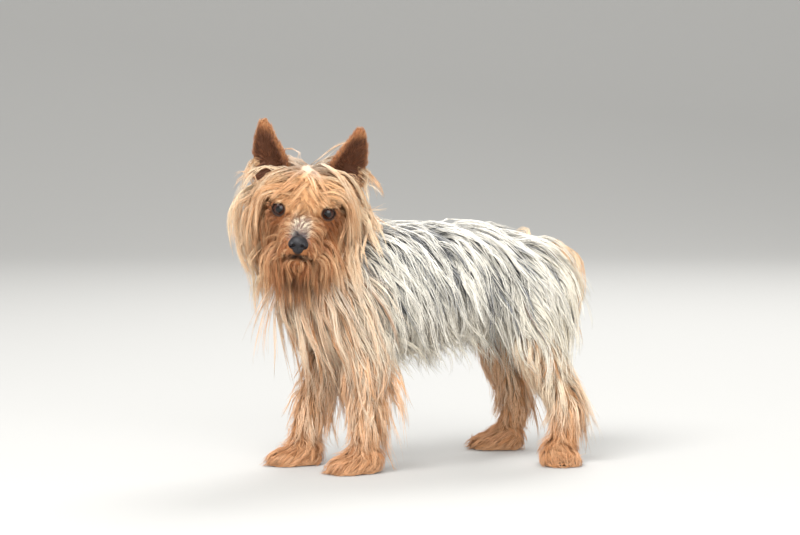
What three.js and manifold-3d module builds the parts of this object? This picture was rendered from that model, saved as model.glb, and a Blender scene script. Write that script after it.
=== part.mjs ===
// A standing Yorkshire terrier at life size, with its head turned to its left, as a still model.
// Millimetres, +Z up. The dog faces -Y and its left side is +X. The paws stand on z = 0, and the
// origin lies on the floor under the middle of the whole dog's box. Flat tapered locks make its
// long coat: they are rooted in a core under them and fall from a parting along the back.
import * as THREE from "three";
import { mergeVertices } from "three/addons/utils/BufferGeometryUtils.js";
import Module from "manifold-3d";

const wasm = await Module();
wasm.setup();

// Driving dimensions of the dog, at the skin
const withersHeight = 224;
const wheelbase = 206;
const backHalfWidth = 42;
const headTurn = 64;
const headPitch = 10;
const headTilt = 5.5;
const skullCentre = [17.6, -137, 245];
const eyeSpacing = 43;
const eyeRadius = 8.6;
const noseWidth = 17.5;
const earTip = 78;

// The coat's core stands this far off the skin, and the locks lie on it
const coreDepth = 4;
const lockSink = 6;
const gap = 0.3;

const degrees = Math.PI / 180;
const up = new THREE.Vector3(0, 0, 1);
const back = new THREE.Vector3(0, 1, 0);
const down = new THREE.Vector3(0, 0, -1);
const chestY = -wheelbase / 2;
const hipY = wheelbase / 2;

const colours = {
  silver: 0xb9b6b0,
  gold: 0xc98f5c,
  tan: 0xd09a68,
  dark: 0x1c1715,
  ear: 0x7a4a2c,
};

// A seeded draw from low to high, so that locks vary alike in every run.
let seed = 7;
function draw(low, high) {
  seed = (seed * 16807) % 2147483647;
  return low + ((high - low) * seed) / 2147483647;
}

const vector = (x, y, z) => new THREE.Vector3(x, y, z);

// A geometry's faces as one closed solid, turned to face outwards.
function solidOf(geometry) {
  const bare = geometry.clone();
  bare.deleteAttribute("normal");
  bare.deleteAttribute("uv");
  const merged = mergeVertices(bare, 1e-4);
  const index = merged.index.array;
  const faces = [];
  for (let i = 0; i < index.length; i += 3) {
    const [a, b, c] = [index[i], index[i + 1], index[i + 2]];
    if (a !== b && b !== c && a !== c) faces.push([a, b, c]);
  }
  const build = (list) =>
    new wasm.Manifold(
      new wasm.Mesh({
        numProp: 3,
        vertProperties: merged.attributes.position.array,
        triVerts: new Uint32Array(list.flat()),
      }),
    );
  const made = build(faces);
  return made.volume() > 0 ? made : build(faces.map(([a, b, c]) => [a, c, b]));
}

function geometryOf(solid) {
  const mesh = solid.getMesh();
  const stride = mesh.numProp;
  const points = new Float32Array(mesh.numVert * 3);
  for (let i = 0; i < mesh.numVert; i++) {
    points.set(mesh.vertProperties.subarray(i * stride, i * stride + 3), i * 3);
  }
  const shape = new THREE.BufferGeometry();
  shape.setAttribute("position", new THREE.BufferAttribute(points, 3));
  shape.setIndex(new THREE.BufferAttribute(new Uint32Array(mesh.triVerts), 1));
  shape.computeVertexNormals();
  return shape;
}

function join(...solids) {
  return wasm.Manifold.union(solids.flat());
}

// What is left of a solid after the cuts: its largest closed surface, with no hollow or scrap.
function cut(solid, ...tools) {
  const left = tools.flat().reduce((rest, tool) => rest.subtract(tool), solid);
  return left.decompose().sort((a, b) => b.volume() - a.volume())[0];
}

// A round body drawn through stations [x, y, z, halfWidth, halfHeight]. Its ends close with a
// curve whose fullness runs from 2, an ellipse, upwards to a square end.
class Form {
  constructor(stations, { fullness = 2.6, top = up } = {}) {
    this.path = new THREE.CatmullRomCurve3(stations.map((s) => vector(s[0], s[1], s[2])));
    this.widths = stations.map((s) => s[3]);
    this.heights = stations.map((s) => s[4]);
    this.fullness = fullness;
    this.top = top;
    this.rings = Array.from({ length: 25 }, (_, i) => this.ring(i / 24));
  }

  sizeAt(list, t) {
    const place = t * (list.length - 1);
    const i = Math.min(Math.floor(place), list.length - 2);
    return THREE.MathUtils.lerp(list[i], list[i + 1], place - i);
  }

  ring(t) {
    const along = this.path.getTangent(t);
    const side = this.top.clone().cross(along).normalize();
    return {
      centre: this.path.getPoint(t),
      along,
      side,
      high: along.clone().cross(side).normalize(),
      end: Math.pow(1 - Math.pow(Math.abs(2 * t - 1), this.fullness), 1 / this.fullness),
      width: this.sizeAt(this.widths, t),
      height: this.sizeAt(this.heights, t),
    };
  }

  // The place at t along the body and at an angle round it from the top, lifted outwards.
  rootAt(t, angle, lift) {
    const r = this.ring(t);
    const [across, over] = [Math.sin(angle), Math.cos(angle)];
    const normal = vector(0, 0, 0)
      .addScaledVector(r.side, across / r.width)
      .addScaledVector(r.high, over / r.height)
      .normalize();
    const point = r.centre
      .clone()
      .addScaledVector(r.side, across * (r.width * r.end + lift))
      .addScaledVector(r.high, over * (r.height * r.end + lift));
    return { point, normal };
  }

  // Moves a point out of the body to a clearance. Returns the way out, or null if it was clear.
  push(point, clearance) {
    let nearest = null;
    let least = 1;
    for (const r of this.rings) {
      const away = point.clone().sub(r.centre);
      const wide = r.width * r.end + clearance;
      const tall = r.height * r.end + clearance;
      const place = [away.dot(r.side) / wide, away.dot(r.high) / tall];
      const reach = Math.hypot(...place, away.dot(r.along) / Math.max(wide, tall));
      if (reach < least) {
        least = reach;
        nearest = { r, wide, tall, place };
      }
    }
    if (!nearest) return null;
    const { r, wide, tall, place } = nearest;
    const grow = 1 / Math.max(Math.hypot(...place), 0.05) - 1;
    point.addScaledVector(r.side, place[0] * wide * grow).addScaledVector(r.high, place[1] * tall * grow);
    return vector(0, 0, 0)
      .addScaledVector(r.side, place[0] / wide)
      .addScaledVector(r.high, place[1] / tall)
      .normalize();
  }

  solid(sides, steps, grow = 0) {
    const shape = new THREE.SphereGeometry(1, sides, steps);
    const position = shape.getAttribute("position");
    for (let i = 0; i < position.count; i++) {
      const [x, y, z] = [position.getX(i), position.getY(i), position.getZ(i)];
      const r = this.ring((1 - y) / 2);
      const round = Math.hypot(x, z);
      const pole = round < 1e-6;
      const place = r.centre.clone().addScaledVector(r.along, -y * grow);
      if (!pole) {
        place.addScaledVector(r.side, (x / round) * (r.width + grow) * r.end);
        place.addScaledVector(r.high, (z / round) * (r.height + grow) * r.end);
      }
      position.setXYZ(i, place.x, place.y, place.z);
    }
    return solidOf(shape);
  }
}

// An ellipsoid with its radii along X, Y and Z.
class Ball {
  constructor(centre, radii) {
    this.centre = vector(...centre);
    this.radii = vector(...radii);
  }

  // The place where a direction from the centre meets the surface, lifted outwards.
  rootAt(direction, lift) {
    const way = direction.clone().normalize();
    const point = this.centre.clone().add(way.clone().multiply(this.radii));
    const normal = way.divide(this.radii).normalize();
    return { point: point.addScaledVector(normal, lift), normal };
  }

  push(point, clearance) {
    const radii = this.radii.clone().addScalar(clearance);
    const away = point.clone().sub(this.centre).divide(radii);
    const reach = away.length();
    if (reach >= 1) return null;
    point.copy(away.clone().divideScalar(Math.max(reach, 0.05)).multiply(radii).add(this.centre));
    return away.divide(radii).normalize();
  }

  solid(sides, rings, grow = 0) {
    const shape = new THREE.SphereGeometry(1, sides, rings);
    shape.rotateX(Math.PI / 2);
    shape.scale(...this.radii.clone().addScalar(grow).toArray());
    shape.translate(...this.centre.toArray());
    return solidOf(shape);
  }
}

// A flat tapered lock. It starts inside the coat's core at root, sets off along lie, bends towards
// pull by droop at each step, and is pushed out of the forms that it falls over.
class Lock {
  constructor(root, lie, length, shape) {
    const { width, thick = 4, droop = 0.28, lift = 3, over = [], pull = down } = shape;
    const steps = 4;
    const stride = length / steps;
    const way = lie.clone().normalize();
    const point = root.point.clone().addScaledVector(root.normal, -lockSink);
    let normal = root.normal.clone();
    this.width = width;
    this.thick = thick;
    this.points = [point.clone()];
    this.normals = [normal.clone()];
    for (let i = 1; i <= steps; i++) {
      const rise = i === 1 ? root.normal.clone().multiplyScalar(lockSink + lift) : vector(0, 0, 0);
      point.addScaledVector(way, stride).add(rise);
      for (const form of over) {
        const clear = point.clone();
        const out = form.push(clear, lift + coreDepth + (thick / 2) * (i / steps));
        if (!out) continue;
        clear.sub(point).clampLength(0, stride / 2);
        point.add(clear);
        normal.multiplyScalar(0.5).addScaledVector(out, 0.5).normalize();
      }
      this.points.push(point.clone());
      this.normals.push(normal.clone());
      way.lerp(pull, droop).normalize();
    }
  }

  // The blade's own direction across it at t, which turns evenly from the root's to the tip's.
  acrossAt(t, along) {
    const place = t * (this.normals.length - 1);
    const i = Math.min(Math.floor(place), this.normals.length - 2);
    const normal = this.normals[i].clone().lerp(this.normals[i + 1], place - i);
    return along.clone().cross(normal).normalize();
  }

  solid(grow = 0) {
    const rows = this.points.length;
    const path = new THREE.CatmullRomCurve3(this.points);
    const shape = new THREE.SphereGeometry(1, 3, rows);
    const position = shape.getAttribute("position");
    for (let i = 0; i < position.count; i++) {
      const [x, y, z] = [position.getX(i), position.getY(i), position.getZ(i)];
      const t = Math.acos(THREE.MathUtils.clamp(y, -1, 1)) / Math.PI;
      const point = path.getPoint(t);
      const along = path.getTangent(t);
      const side = this.acrossAt(t, along);
      const high = side.clone().cross(along).normalize();
      const taper = Math.sin(Math.PI * Math.min(0.5, 0.2 + t * 0.9)) * Math.pow(1 - t, 0.55);
      const round = Math.hypot(x, z);
      if (round > 1e-6) {
        const ridge = x < 0;
        point.addScaledVector(side, ridge ? 0 : Math.sign(z) * ((this.width / 2) * taper + 5 * grow));
        point.addScaledVector(high, (ridge ? 1 : -0.5) * ((this.thick / 2) * taper + 2 * grow));
      }
      point.addScaledVector(along, -y * grow);
      position.setXYZ(i, point.x, point.y, point.z);
    }
    return solidOf(shape);
  }
}

function allLocks(locks, grow) {
  return locks.map((lock) => lock.solid(grow));
}

// Torso, with the shoulders and the haunches
const torsoForm = new Form(
  [
    [0, chestY - 42, 162, 22, 26],
    [0, chestY - 16, withersHeight - 56, 36, 46],
    [0, chestY + 14, withersHeight - 54, backHalfWidth - 1, 54],
    [0, chestY + 60, withersHeight - 52, backHalfWidth, 52],
    [0, 10, withersHeight - 50, backHalfWidth, 49],
    [0, hipY - 45, withersHeight - 50, 38, 44],
    [0, hipY - 5, withersHeight - 55, 36, 41],
    [0, hipY + 27, withersHeight - 62, 25, 31],
  ],
  { fullness: 2.8 },
);
const shoulderForm = (side) =>
  new Form(
    [
      [side * 22, chestY + 2, 190, 16, 24],
      [side * 30, chestY - 2, 155, 17, 25],
      [side * 34, chestY + 18, 116, 12, 16],
    ],
    { top: back },
  );
const haunchForm = (side) =>
  new Form(
    [
      [side * 20, hipY - 8, 196, 16, 26],
      [side * 34, hipY - 10, 160, 18, 30],
      [side * 44, hipY - 18, 116, 13, 20],
    ],
    { top: back },
  );
const shoulders = [shoulderForm(1), shoulderForm(-1)];
const haunches = [haunchForm(1), haunchForm(-1)];
const bodyForms = [torsoForm, ...shoulders, ...haunches];

// The rows of locks on each side, from the parting down to the belly. Each row has its roots at an
// angle from the top, between two places along the body, and sets off to the rear and down.
const sideRows = [
  { angle: 12, count: 8, from: 0.15, to: 0.84, length: 72, rear: 0.6, fall: 0.15, droop: 0.36, lift: 7 },
  { angle: 50, count: 8, from: 0.13, to: 0.88, length: 66, rear: 0.45, fall: 0.9, droop: 0.3, lift: 5 },
  { angle: 90, count: 7, from: 0.14, to: 0.84, length: 56, rear: 0.25, fall: 1, droop: 0.3, lift: 4 },
];
function torsoLocks(side) {
  const locks = [];
  for (const { angle, count, from, to, length, rear, fall, droop, lift } of sideRows) {
    for (let i = 0; i < count; i++) {
      const t = THREE.MathUtils.lerp(from, to, (i + draw(-0.25, 0.25)) / (count - 1));
      const root = torsoForm.rootAt(t, -side * (angle + draw(-4, 4)) * degrees, coreDepth);
      const lie = vector(side * Math.cos(angle * degrees), rear + draw(-0.12, 0.12), -fall);
      const shape = { width: draw(21, 25), thick: 5, droop, lift, over: bodyForms };
      locks.push(new Lock(root, lie, length * draw(0.9, 1.1), shape));
    }
  }
  const pairs = [
    { form: side > 0 ? shoulders[0] : shoulders[1], angles: [40, 95, 150] },
    { form: side > 0 ? haunches[0] : haunches[1], angles: [20, 75, 130] },
  ];
  for (const { form, angles } of pairs) {
    for (const angle of angles) {
      const root = form.rootAt(draw(0.5, 0.66), side * angle * degrees, coreDepth);
      const lie = vector(side * 0.1, 0.1, -1);
      const shape = { width: 17, droop: 0.4, lift: 2, over: bodyForms };
      locks.push(new Lock(root, lie, 52 * draw(0.9, 1.1), shape));
    }
  }
  return locks;
}

// The fans of locks across the body's ends: two on the chest and one on the rump.
const endFans = [
  { t: 0.05, count: 5, spread: 80, length: 46, ahead: -0.3, lift: 5 },
  { t: 0.1, count: 5, spread: 105, length: 58, ahead: -0.35, lift: 5 },
  { t: 0.94, count: 4, spread: 65, length: 46, ahead: 0.05, lift: 2 },
];
function endLocks() {
  const locks = [];
  for (const { t, count, spread, length, ahead, lift } of endFans) {
    for (let i = 0; i < count; i++) {
      const angle = THREE.MathUtils.lerp(-spread, spread, i / (count - 1));
      const root = torsoForm.rootAt(t, angle * degrees, coreDepth);
      const lie = vector(-0.5 * Math.sin(angle * degrees), ahead, -0.9);
      const shape = { width: 18, droop: 0.4, lift, over: bodyForms };
      locks.push(new Lock(root, lie, length * draw(0.9, 1.1), shape));
    }
  }
  return locks;
}

// Head, in its own frame: +X is the dog's left, -Y the way it looks, and the origin is mid skull
const head = new THREE.Group();
head.position.set(...skullCentre);
head.rotation.set(headPitch * degrees, headTilt * degrees, headTurn * degrees, "ZXY");
head.updateMatrix();
const headDown = down.clone().applyQuaternion(head.quaternion.clone().invert());
const eyePlace = (side) => [(side * eyeSpacing) / 2, -16.5, 1];
const nosePlace = [0, -63, -19.5];
const cranium = new Ball([0, 8, 9], [33, 37, 28]);
const cheeks = new Ball([0, 2, -12], [35, 27, 26]);
const mane = new Ball([0, 16, -14], [43, 27, 44]);
const muzzleForm = new Form(
  [
    [0, -6, -12, 23, 20],
    [0, -32, -17, 18, 15],
    [0, -48, -21, 15, 12],
    [0, -63, -22, 12, 10],
  ],
  { fullness: 4 },
);
const jawForm = new Form(
  [
    [0, -8, -36, 17, 9],
    [0, -34, -39, 13, 8],
    [0, -58, -38.5, 9, 6],
  ],
  { fullness: 4 },
);
const mouthForm = new Form(
  [
    [-19, -34, -31.5, 1, 1],
    [-14, -54, -33, 1, 1],
    [0, -70, -32, 1, 1],
    [14, -54, -33, 1, 1],
    [19, -34, -31.5, 1, 1],
  ],
  { fullness: 8 },
);
const lipForm = (side) =>
  new Form(
    [
      [side * 2, -62, -28.5, 3, 3],
      [side * 12, -54, -28.5, 4, 3.4],
      [side * 17, -36, -27.5, 4, 3.4],
    ],
    { fullness: 3 },
  );
const browBall = (side) => new Ball([side * 19, -20, 12.5], [12, 8, 5]);
const headForms = [cranium, cheeks, mane, muzzleForm, jawForm];

// A lid as a ring round the open part of an eye.
function lidAt(side, grow) {
  const [x, y, z] = eyePlace(side);
  const shape = new THREE.TorusGeometry(eyeRadius - 1.8, 1.8 + grow, 5, 12);
  shape.scale(1, 0.9, 1);
  shape.rotateX(Math.PI / 2);
  shape.rotateZ(side * 16 * degrees);
  shape.translate(x + side * 1.2, y - 5.6, z);
  return solidOf(shape);
}

// The tiers of locks on each side of the head: the parting, the temples, two in the mane and the
// brows. Each tier has its roots on a ball, in a row between two directions from the ball's middle,
// and sets off along its lie.
const headTiers = [
  {
    ball: cranium,
    count: 6,
    row: [[0.14, -0.7, 0.8], [0.2, 0.8, 0.7]],
    lie: [1, 0, 0.1],
    length: 66,
    width: 18,
    lift: 5,
  },
  {
    ball: cranium,
    count: 5,
    row: [[0.75, -0.62, 0.4], [0.6, 0.8, 0.3]],
    lie: [1, 0, -0.5],
    length: 70,
    width: 19,
    lift: 7,
  },
  {
    ball: mane,
    count: 5,
    row: [[0.9, -0.6, 0.3], [0.6, 0.8, 0.2]],
    lie: [0.6, 0, -1],
    length: 66,
    width: 18,
    lift: 8,
  },
  {
    ball: mane,
    count: 5,
    row: [[0.75, -0.65, -0.35], [0.5, 0.8, -0.4]],
    lie: [0.4, 0, -1],
    length: 52,
    width: 17,
    lift: 5,
  },
  {
    ball: cranium,
    count: 3,
    row: [[0.3, -0.95, 0.42], [0.62, -0.9, 0.3]],
    lie: [0.9, -0.3, 0.05],
    length: 34,
    width: 8,
    lift: 2,
  },
];
function headLocks(side) {
  const locks = [];
  for (const { ball, count, row, lie, length, width, lift } of headTiers) {
    for (let i = 0; i < count; i++) {
      const way = vector(...row[0]).lerp(vector(...row[1]), i / (count - 1));
      way.x *= side;
      const root = ball.rootAt(way, coreDepth - 1);
      const setOff = vector(side * lie[0], lie[1] + 0.3 * way.y, lie[2]);
      const shape = { width, thick: 3.6, droop: 0.42, lift, over: headForms, pull: headDown };
      locks.push(new Lock(root, setOff, length * draw(0.93, 1.07), shape));
    }
  }
  // The moustache's two rows along the muzzle, and the beard, which is longer at the jaw's sides
  for (let i = 0; i < 4; i++) {
    const shape = { width: 12, thick: 3, droop: 0.4, lift: 1, over: [jawForm, cheeks], pull: headDown };
    const lower = muzzleForm.rootAt(0.95 - 0.17 * i, -side * (74 + 5 * i) * degrees, 1);
    locks.push(new Lock(lower, vector(side * 0.7, -0.1 + 0.04 * i, -1), 46 + 4 * i, shape));
    const upper = muzzleForm.rootAt(0.86 - 0.17 * i, -side * (42 + 5 * i) * degrees, 0.5);
    const outer = { ...shape, width: 11, over: [muzzleForm] };
    locks.push(new Lock(upper, vector(side, 0, -0.5), 38 + 3 * i, outer));
    const chin = jawForm.rootAt(0.9 - 0.2 * i, side * (152 - 14 * i) * degrees, 1);
    locks.push(new Lock(chin, vector(side * 0.25, -0.05, -1), 22 + 9 * i, { ...shape, over: [] }));
  }
  return locks;
}

function headAt(grow, locks) {
  return join(
    cranium.solid(16, 10, coreDepth + grow),
    cheeks.solid(14, 8, coreDepth + grow),
    mane.solid(16, 8, coreDepth + grow),
    muzzleForm.solid(12, 7, 1 + grow),
    jawForm.solid(10, 5, 0.5 + grow),
    [-1, 1].flatMap((side) => [
      lidAt(side, grow),
      lipForm(side).solid(6, 5, grow),
      browBall(side).solid(8, 5, grow),
    ]),
    allLocks(locks, grow),
  );
}

const eyeAt = (side, grow) => new Ball(eyePlace(side), [eyeRadius, eyeRadius, eyeRadius]).solid(12, 7, grow);

// The nose leather, with two nostrils and the groove between them
function noseAt() {
  const [x, y, z] = nosePlace;
  const pad = new Ball(nosePlace, [noseWidth / 2, 7.5, 7]).solid(12, 7);
  const pair = (across, ahead, low, radii) =>
    [-1, 1].map((side) => new Ball([x + side * across, y - ahead, z - low], radii).solid(6, 4));
  const nostrils = pair(4, 7, 0.8, [1.8, 4.4, 1.7]);
  const wings = pair(6.6, 4, 2.5, [1, 5, 2]);
  const groove = new Ball([x, y - 7.2, z - 5], [0.5, 2, 3.4]).solid(6, 4);
  return pad.subtract(join(nostrils, wings, groove));
}

// An ear is a pointed shell with its cup open to the front
function earAt(side, grow) {
  const cupTop = vector(side * 0.45, -1, 0.1).normalize();
  const shell = (scale, ahead, rise) =>
    new Form(
      [
        [side * (32 + ahead * 0.4), 8 - ahead, 22 + rise, 20 * scale, 8 * scale],
        [side * (36 + ahead * 0.4), 6 - ahead, 40 + rise, 18 * scale, 7 * scale],
        [side * (41 + ahead * 0.4), 4 - ahead, 57, 12.5 * scale, 4.8 * scale],
        [side * (44.5 + ahead * 0.4), 2 - ahead, earTip - 2, 5.4 * scale, 2.2 * scale],
      ],
      { fullness: 5, top: cupTop },
    );
  const outer = shell(1, 0, 0).solid(10, 6, grow);
  return grow ? outer : outer.subtract(shell(0.8, 5.2, 3).solid(10, 6));
}

// Neck, from the withers up to the back of the skull
const neckForm = new Form(
  [
    [0, chestY + 16, 180, 30, 34],
    [4, chestY - 8, 196, 29, 33],
    [12, chestY - 26, 220, 28, 30],
    [17, chestY - 33, 246, 25, 27],
  ],
  { top: vector(0, -1, 0) },
);
function neckLocks() {
  const locks = [];
  for (let i = 0; i < 7; i++) {
    const angle = (i / 7) * 360;
    const root = neckForm.rootAt(i % 2 ? 0.45 : 0.62, angle * degrees, coreDepth);
    const lie = vector(root.normal.x * 0.5, 0.2 + root.normal.y * 0.5, -1);
    locks.push(new Lock(root, lie, 44, { width: 14, droop: 0.3, lift: 3, over: [neckForm, ...bodyForms] }));
  }
  return locks;
}

// Legs, from the elbow and the knee down to the paws
const forePlace = { left: [33, chestY + 16], right: [-37, chestY - 15] };
const hindPlace = { left: [55, hipY + 1], right: [-51, hipY - 2] };
const pawTurn = { foreleft: 4, foreright: -6, hindleft: 74, hindright: -34 };
function forelegForm(name, side) {
  const [x, y] = forePlace[name];
  return new Form(
    [
      [side * 34, chestY + 20, 130, 12, 15],
      [side * 34, (chestY + 20 + y) / 2, 84, 9.5, 11],
      [x, y + 4, 44, 8, 9],
      [x, y + 1, 16, 9, 10],
    ],
    { fullness: 6, top: back },
  );
}
function hindlegForm(name, side) {
  const [x, y] = hindPlace[name];
  return new Form(
    [
      [side * 43, hipY - 20, 126, 13, 19],
      [side * 47, hipY - 10, 92, 11, 14],
      [x, y + 10, 56, 8, 10],
      [x, y + 3, 16, 9, 10],
    ],
    { fullness: 6, top: back },
  );
}

// The rings of locks down a leg: how far down each lies, its count and its length.
const legRings = [
  [0.36, 4, 36],
  [0.57, 3, 34],
  [0.77, 3, 30],
];
function legLocks(form) {
  const locks = [];
  for (const [t, count, length] of legRings) {
    for (let i = 0; i < count; i++) {
      const angle = ((i + t * 2.4) / count) * 360;
      const root = form.rootAt(t, angle * degrees, coreDepth - 1);
      const rear = Math.max(0, root.normal.y);
      const lie = root.normal.clone().multiplyScalar(0.05 + 0.25 * rear).add(down);
      const size = { width: 16, thick: 3.4, droop: 0.3, lift: 1 + 2.5 * rear, over: [form] };
      locks.push(new Lock(root, lie, length * draw(0.9, 1.1), size));
    }
  }
  return locks;
}

// A paw of four toes with claws, its sole flat on the floor, turned outwards by an angle.
const toes = [
  [-11, -15],
  [-4, -20],
  [4, -20],
  [11, -15],
];
function pawAt([x, y], turn, grow) {
  const pieces = [new Ball([0, 0, 9], [15, 18, 13]).solid(8, 5, grow)];
  for (const [across, ahead] of toes) {
    pieces.push(new Ball([across, ahead, 6], [5.6, 11, 7.5]).solid(6, 4, grow));
    pieces.push(new Ball([across * 1.1, ahead - 10, 3.5], [1.5, 4, 2]).solid(4, 3, grow));
  }
  const floor = new THREE.BoxGeometry(100, 100, 50);
  floor.translate(0, 0, -25);
  const place = new THREE.Matrix4().makeRotationZ(turn * degrees).setPosition(x, y, 0);
  return join(pieces).subtract(solidOf(floor)).transform(place.elements);
}

// Tail, short and held down against the rump
const tailForm = new Form(
  [
    [0, hipY + 18, 200, 10, 10],
    [0, hipY + 33, 192, 9, 8],
    [0, hipY + 38, 174, 8, 6],
    [0, hipY + 36, 152, 5, 4],
  ],
  { fullness: 4, top: back },
);
function tailLocks() {
  return [-75, -25, 25, 75].flatMap((angle) =>
    [0.4, 0.66].map((t) => {
      const root = tailForm.rootAt(t, angle * degrees, 1);
      const lie = vector(root.normal.x * 0.2, 0.02, -1);
      return new Lock(root, lie, 38, { width: 10, thick: 3, lift: 0.5, over: [tailForm] });
    }),
  );
}

// Each node is built as itself and grown by the gap, and cuts those made after it clear
const placed = (solid) => solid.transform(head.matrix.elements);
const sides = [["left", 1], ["right", -1]];
const faceLocks = [...headLocks(1), ...headLocks(-1)];
const coatLocks = [...torsoLocks(1), ...torsoLocks(-1), ...endLocks()];
const torsoAt = (grow) =>
  join(
    torsoForm.solid(18, 12, coreDepth + grow),
    [...shoulders, ...haunches].map((form) => form.solid(10, 6, coreDepth - 1 + grow)),
    allLocks(coatLocks, grow),
  );

function node(name, solid, colour, roughness = 0.6) {
  const surface = new THREE.MeshStandardMaterial({ color: colour, roughness, metalness: 0 });
  const mesh = new THREE.Mesh(geometryOf(solid), surface);
  mesh.name = name;
  return mesh;
}

const eyesGrown = sides.map(([, side]) => eyeAt(side, gap));
const headSolid = cut(headAt(0, faceLocks), eyesGrown, mouthForm.solid(6, 24));
const headGrown = headAt(gap, faceLocks);
const headClear = placed(headGrown);
const torso = cut(torsoAt(0), headClear);
const torsoGrown = join(torsoAt(gap), torso);
const neckWhole = join(neckForm.solid(12, 6, coreDepth), allLocks(neckLocks(), 0));

const dog = new THREE.Group();
dog.add(node("torso", torso, colours.silver));
dog.add(node("neck", cut(neckWhole, headClear, torsoGrown), colours.silver));
head.add(node("head", headSolid, colours.gold));
head.add(node("nose", cut(noseAt(), headGrown), colours.dark, 0.35));
for (const [name, side] of sides) {
  head.add(node("eye_" + name, eyeAt(side, 0), colours.dark, 0.1));
  head.add(node("ear_" + name, cut(earAt(side, 0), headGrown), colours.ear));
  const limbs = [
    ["front", "fore", forelegForm(name, side), forePlace[name]],
    ["rear", "hind", hindlegForm(name, side), hindPlace[name]],
  ];
  for (const [end, word, form, place] of limbs) {
    const turn = pawTurn[word + name];
    const leg = join(form.solid(10, 6, coreDepth - 1), allLocks(legLocks(form), 0));
    dog.add(node("paw_" + end + "_" + name, pawAt(place, turn, 0), colours.tan));
    dog.add(node(word + "leg_" + name, cut(leg, torsoGrown, pawAt(place, turn, gap)), colours.tan));
  }
}
const tail = join(tailForm.solid(8, 6, 1), allLocks(tailLocks(), 0));
dog.add(node("tail", cut(tail, torsoGrown), colours.gold));
dog.add(head);

const box = new THREE.Box3().setFromObject(dog, true);
const middle = box.getCenter(vector(0, 0, 0));
dog.position.set(-middle.x, -middle.y, -box.min.z);

export default dog;
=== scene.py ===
"""A standing Yorkshire terrier with its head turned to its left, dressed over its CAD frame.

The dog's own numbers are millimetres, as in its CAD source. One skin replaces the solids of flesh,
locks of fine strands make the coat, and the eyes, the nose and the claws are pieces of their own.
"""

import logging
import math
from dataclasses import dataclass, field, fields, replace
from enum import Enum

import bmesh
import bpy
import numpy as np
from mathutils import Euler, Matrix, Vector
from mathutils.bvhtree import BVHTree
from mathutils.kdtree import KDTree


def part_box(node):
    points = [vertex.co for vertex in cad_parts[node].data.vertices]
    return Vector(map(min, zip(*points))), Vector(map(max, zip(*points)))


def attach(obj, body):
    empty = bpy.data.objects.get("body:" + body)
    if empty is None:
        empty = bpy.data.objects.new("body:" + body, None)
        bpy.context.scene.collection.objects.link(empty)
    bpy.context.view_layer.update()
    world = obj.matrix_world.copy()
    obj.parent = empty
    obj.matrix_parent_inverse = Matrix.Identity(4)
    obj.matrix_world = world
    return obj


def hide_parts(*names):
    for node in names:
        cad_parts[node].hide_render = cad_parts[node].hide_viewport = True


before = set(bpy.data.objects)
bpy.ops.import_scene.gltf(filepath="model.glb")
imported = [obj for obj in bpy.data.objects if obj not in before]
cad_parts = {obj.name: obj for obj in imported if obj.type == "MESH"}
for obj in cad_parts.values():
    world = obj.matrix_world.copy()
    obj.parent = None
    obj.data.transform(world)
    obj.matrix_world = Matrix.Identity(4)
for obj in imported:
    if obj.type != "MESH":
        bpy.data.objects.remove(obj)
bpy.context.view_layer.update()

log = logging.getLogger("terrier")
MM = 0.001
UP = np.array([0.0, 0.0, 1.0])
BACK = np.array([0.0, 1.0, 0.0])
LEFT = np.array([1.0, 0.0, 0.0])
SIDES = (1, -1)
MARKING = "marking"
CHEST_Y = -103.0
HIP_Y = 103.0
WITHERS = 224.0


class Zone(Enum):
    """The parts of the coat, each with its own lie and length."""

    TORSO = "torso"
    NECK = "neck"
    CROWN = "crown"
    MANE = "mane"
    FACE = "face"
    MUZZLE = "muzzle"
    JAW = "jaw"
    EAR = "ear"
    FRINGE = "fringe"
    FORELEG = "foreleg"
    HINDLEG = "hindleg"
    PAW = "paw"
    TAIL = "tail"


ZONES = list(Zone)


def unit(v: np.ndarray) -> np.ndarray:
    """Vectors scaled to a length of one, along the last axis."""
    return v / np.maximum(np.linalg.norm(v, axis=-1, keepdims=True), 1e-9)


def smooth(a: float, b: float, x: np.ndarray) -> np.ndarray:
    """A smooth step from 0 at a to 1 at b."""
    t = np.clip((x - a) / (b - a), 0.0, 1.0)
    return t * t * (3.0 - 2.0 * t)


def hump(x: np.ndarray, middle: np.ndarray | float, width: float) -> np.ndarray:
    """A rounded hump, 1 at its middle and near 0 at twice its width."""
    return np.exp(-(((x - middle) / width) ** 2))


def tangent(v: np.ndarray, n: np.ndarray) -> np.ndarray:
    """The part of v that lies in the plane with normal n."""
    return v - n * np.sum(v * n, axis=-1, keepdims=True)


def linear(red: float, green: float, blue: float) -> np.ndarray:
    """A colour given in 0 to 255 as the eye sees it, turned to the renderer's linear numbers."""
    c = np.array([red, green, blue]) / 255.0
    return np.where(c < 0.04045, c / 12.92, ((c + 0.055) / 1.055) ** 2.4)


# The dog's shape


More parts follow.
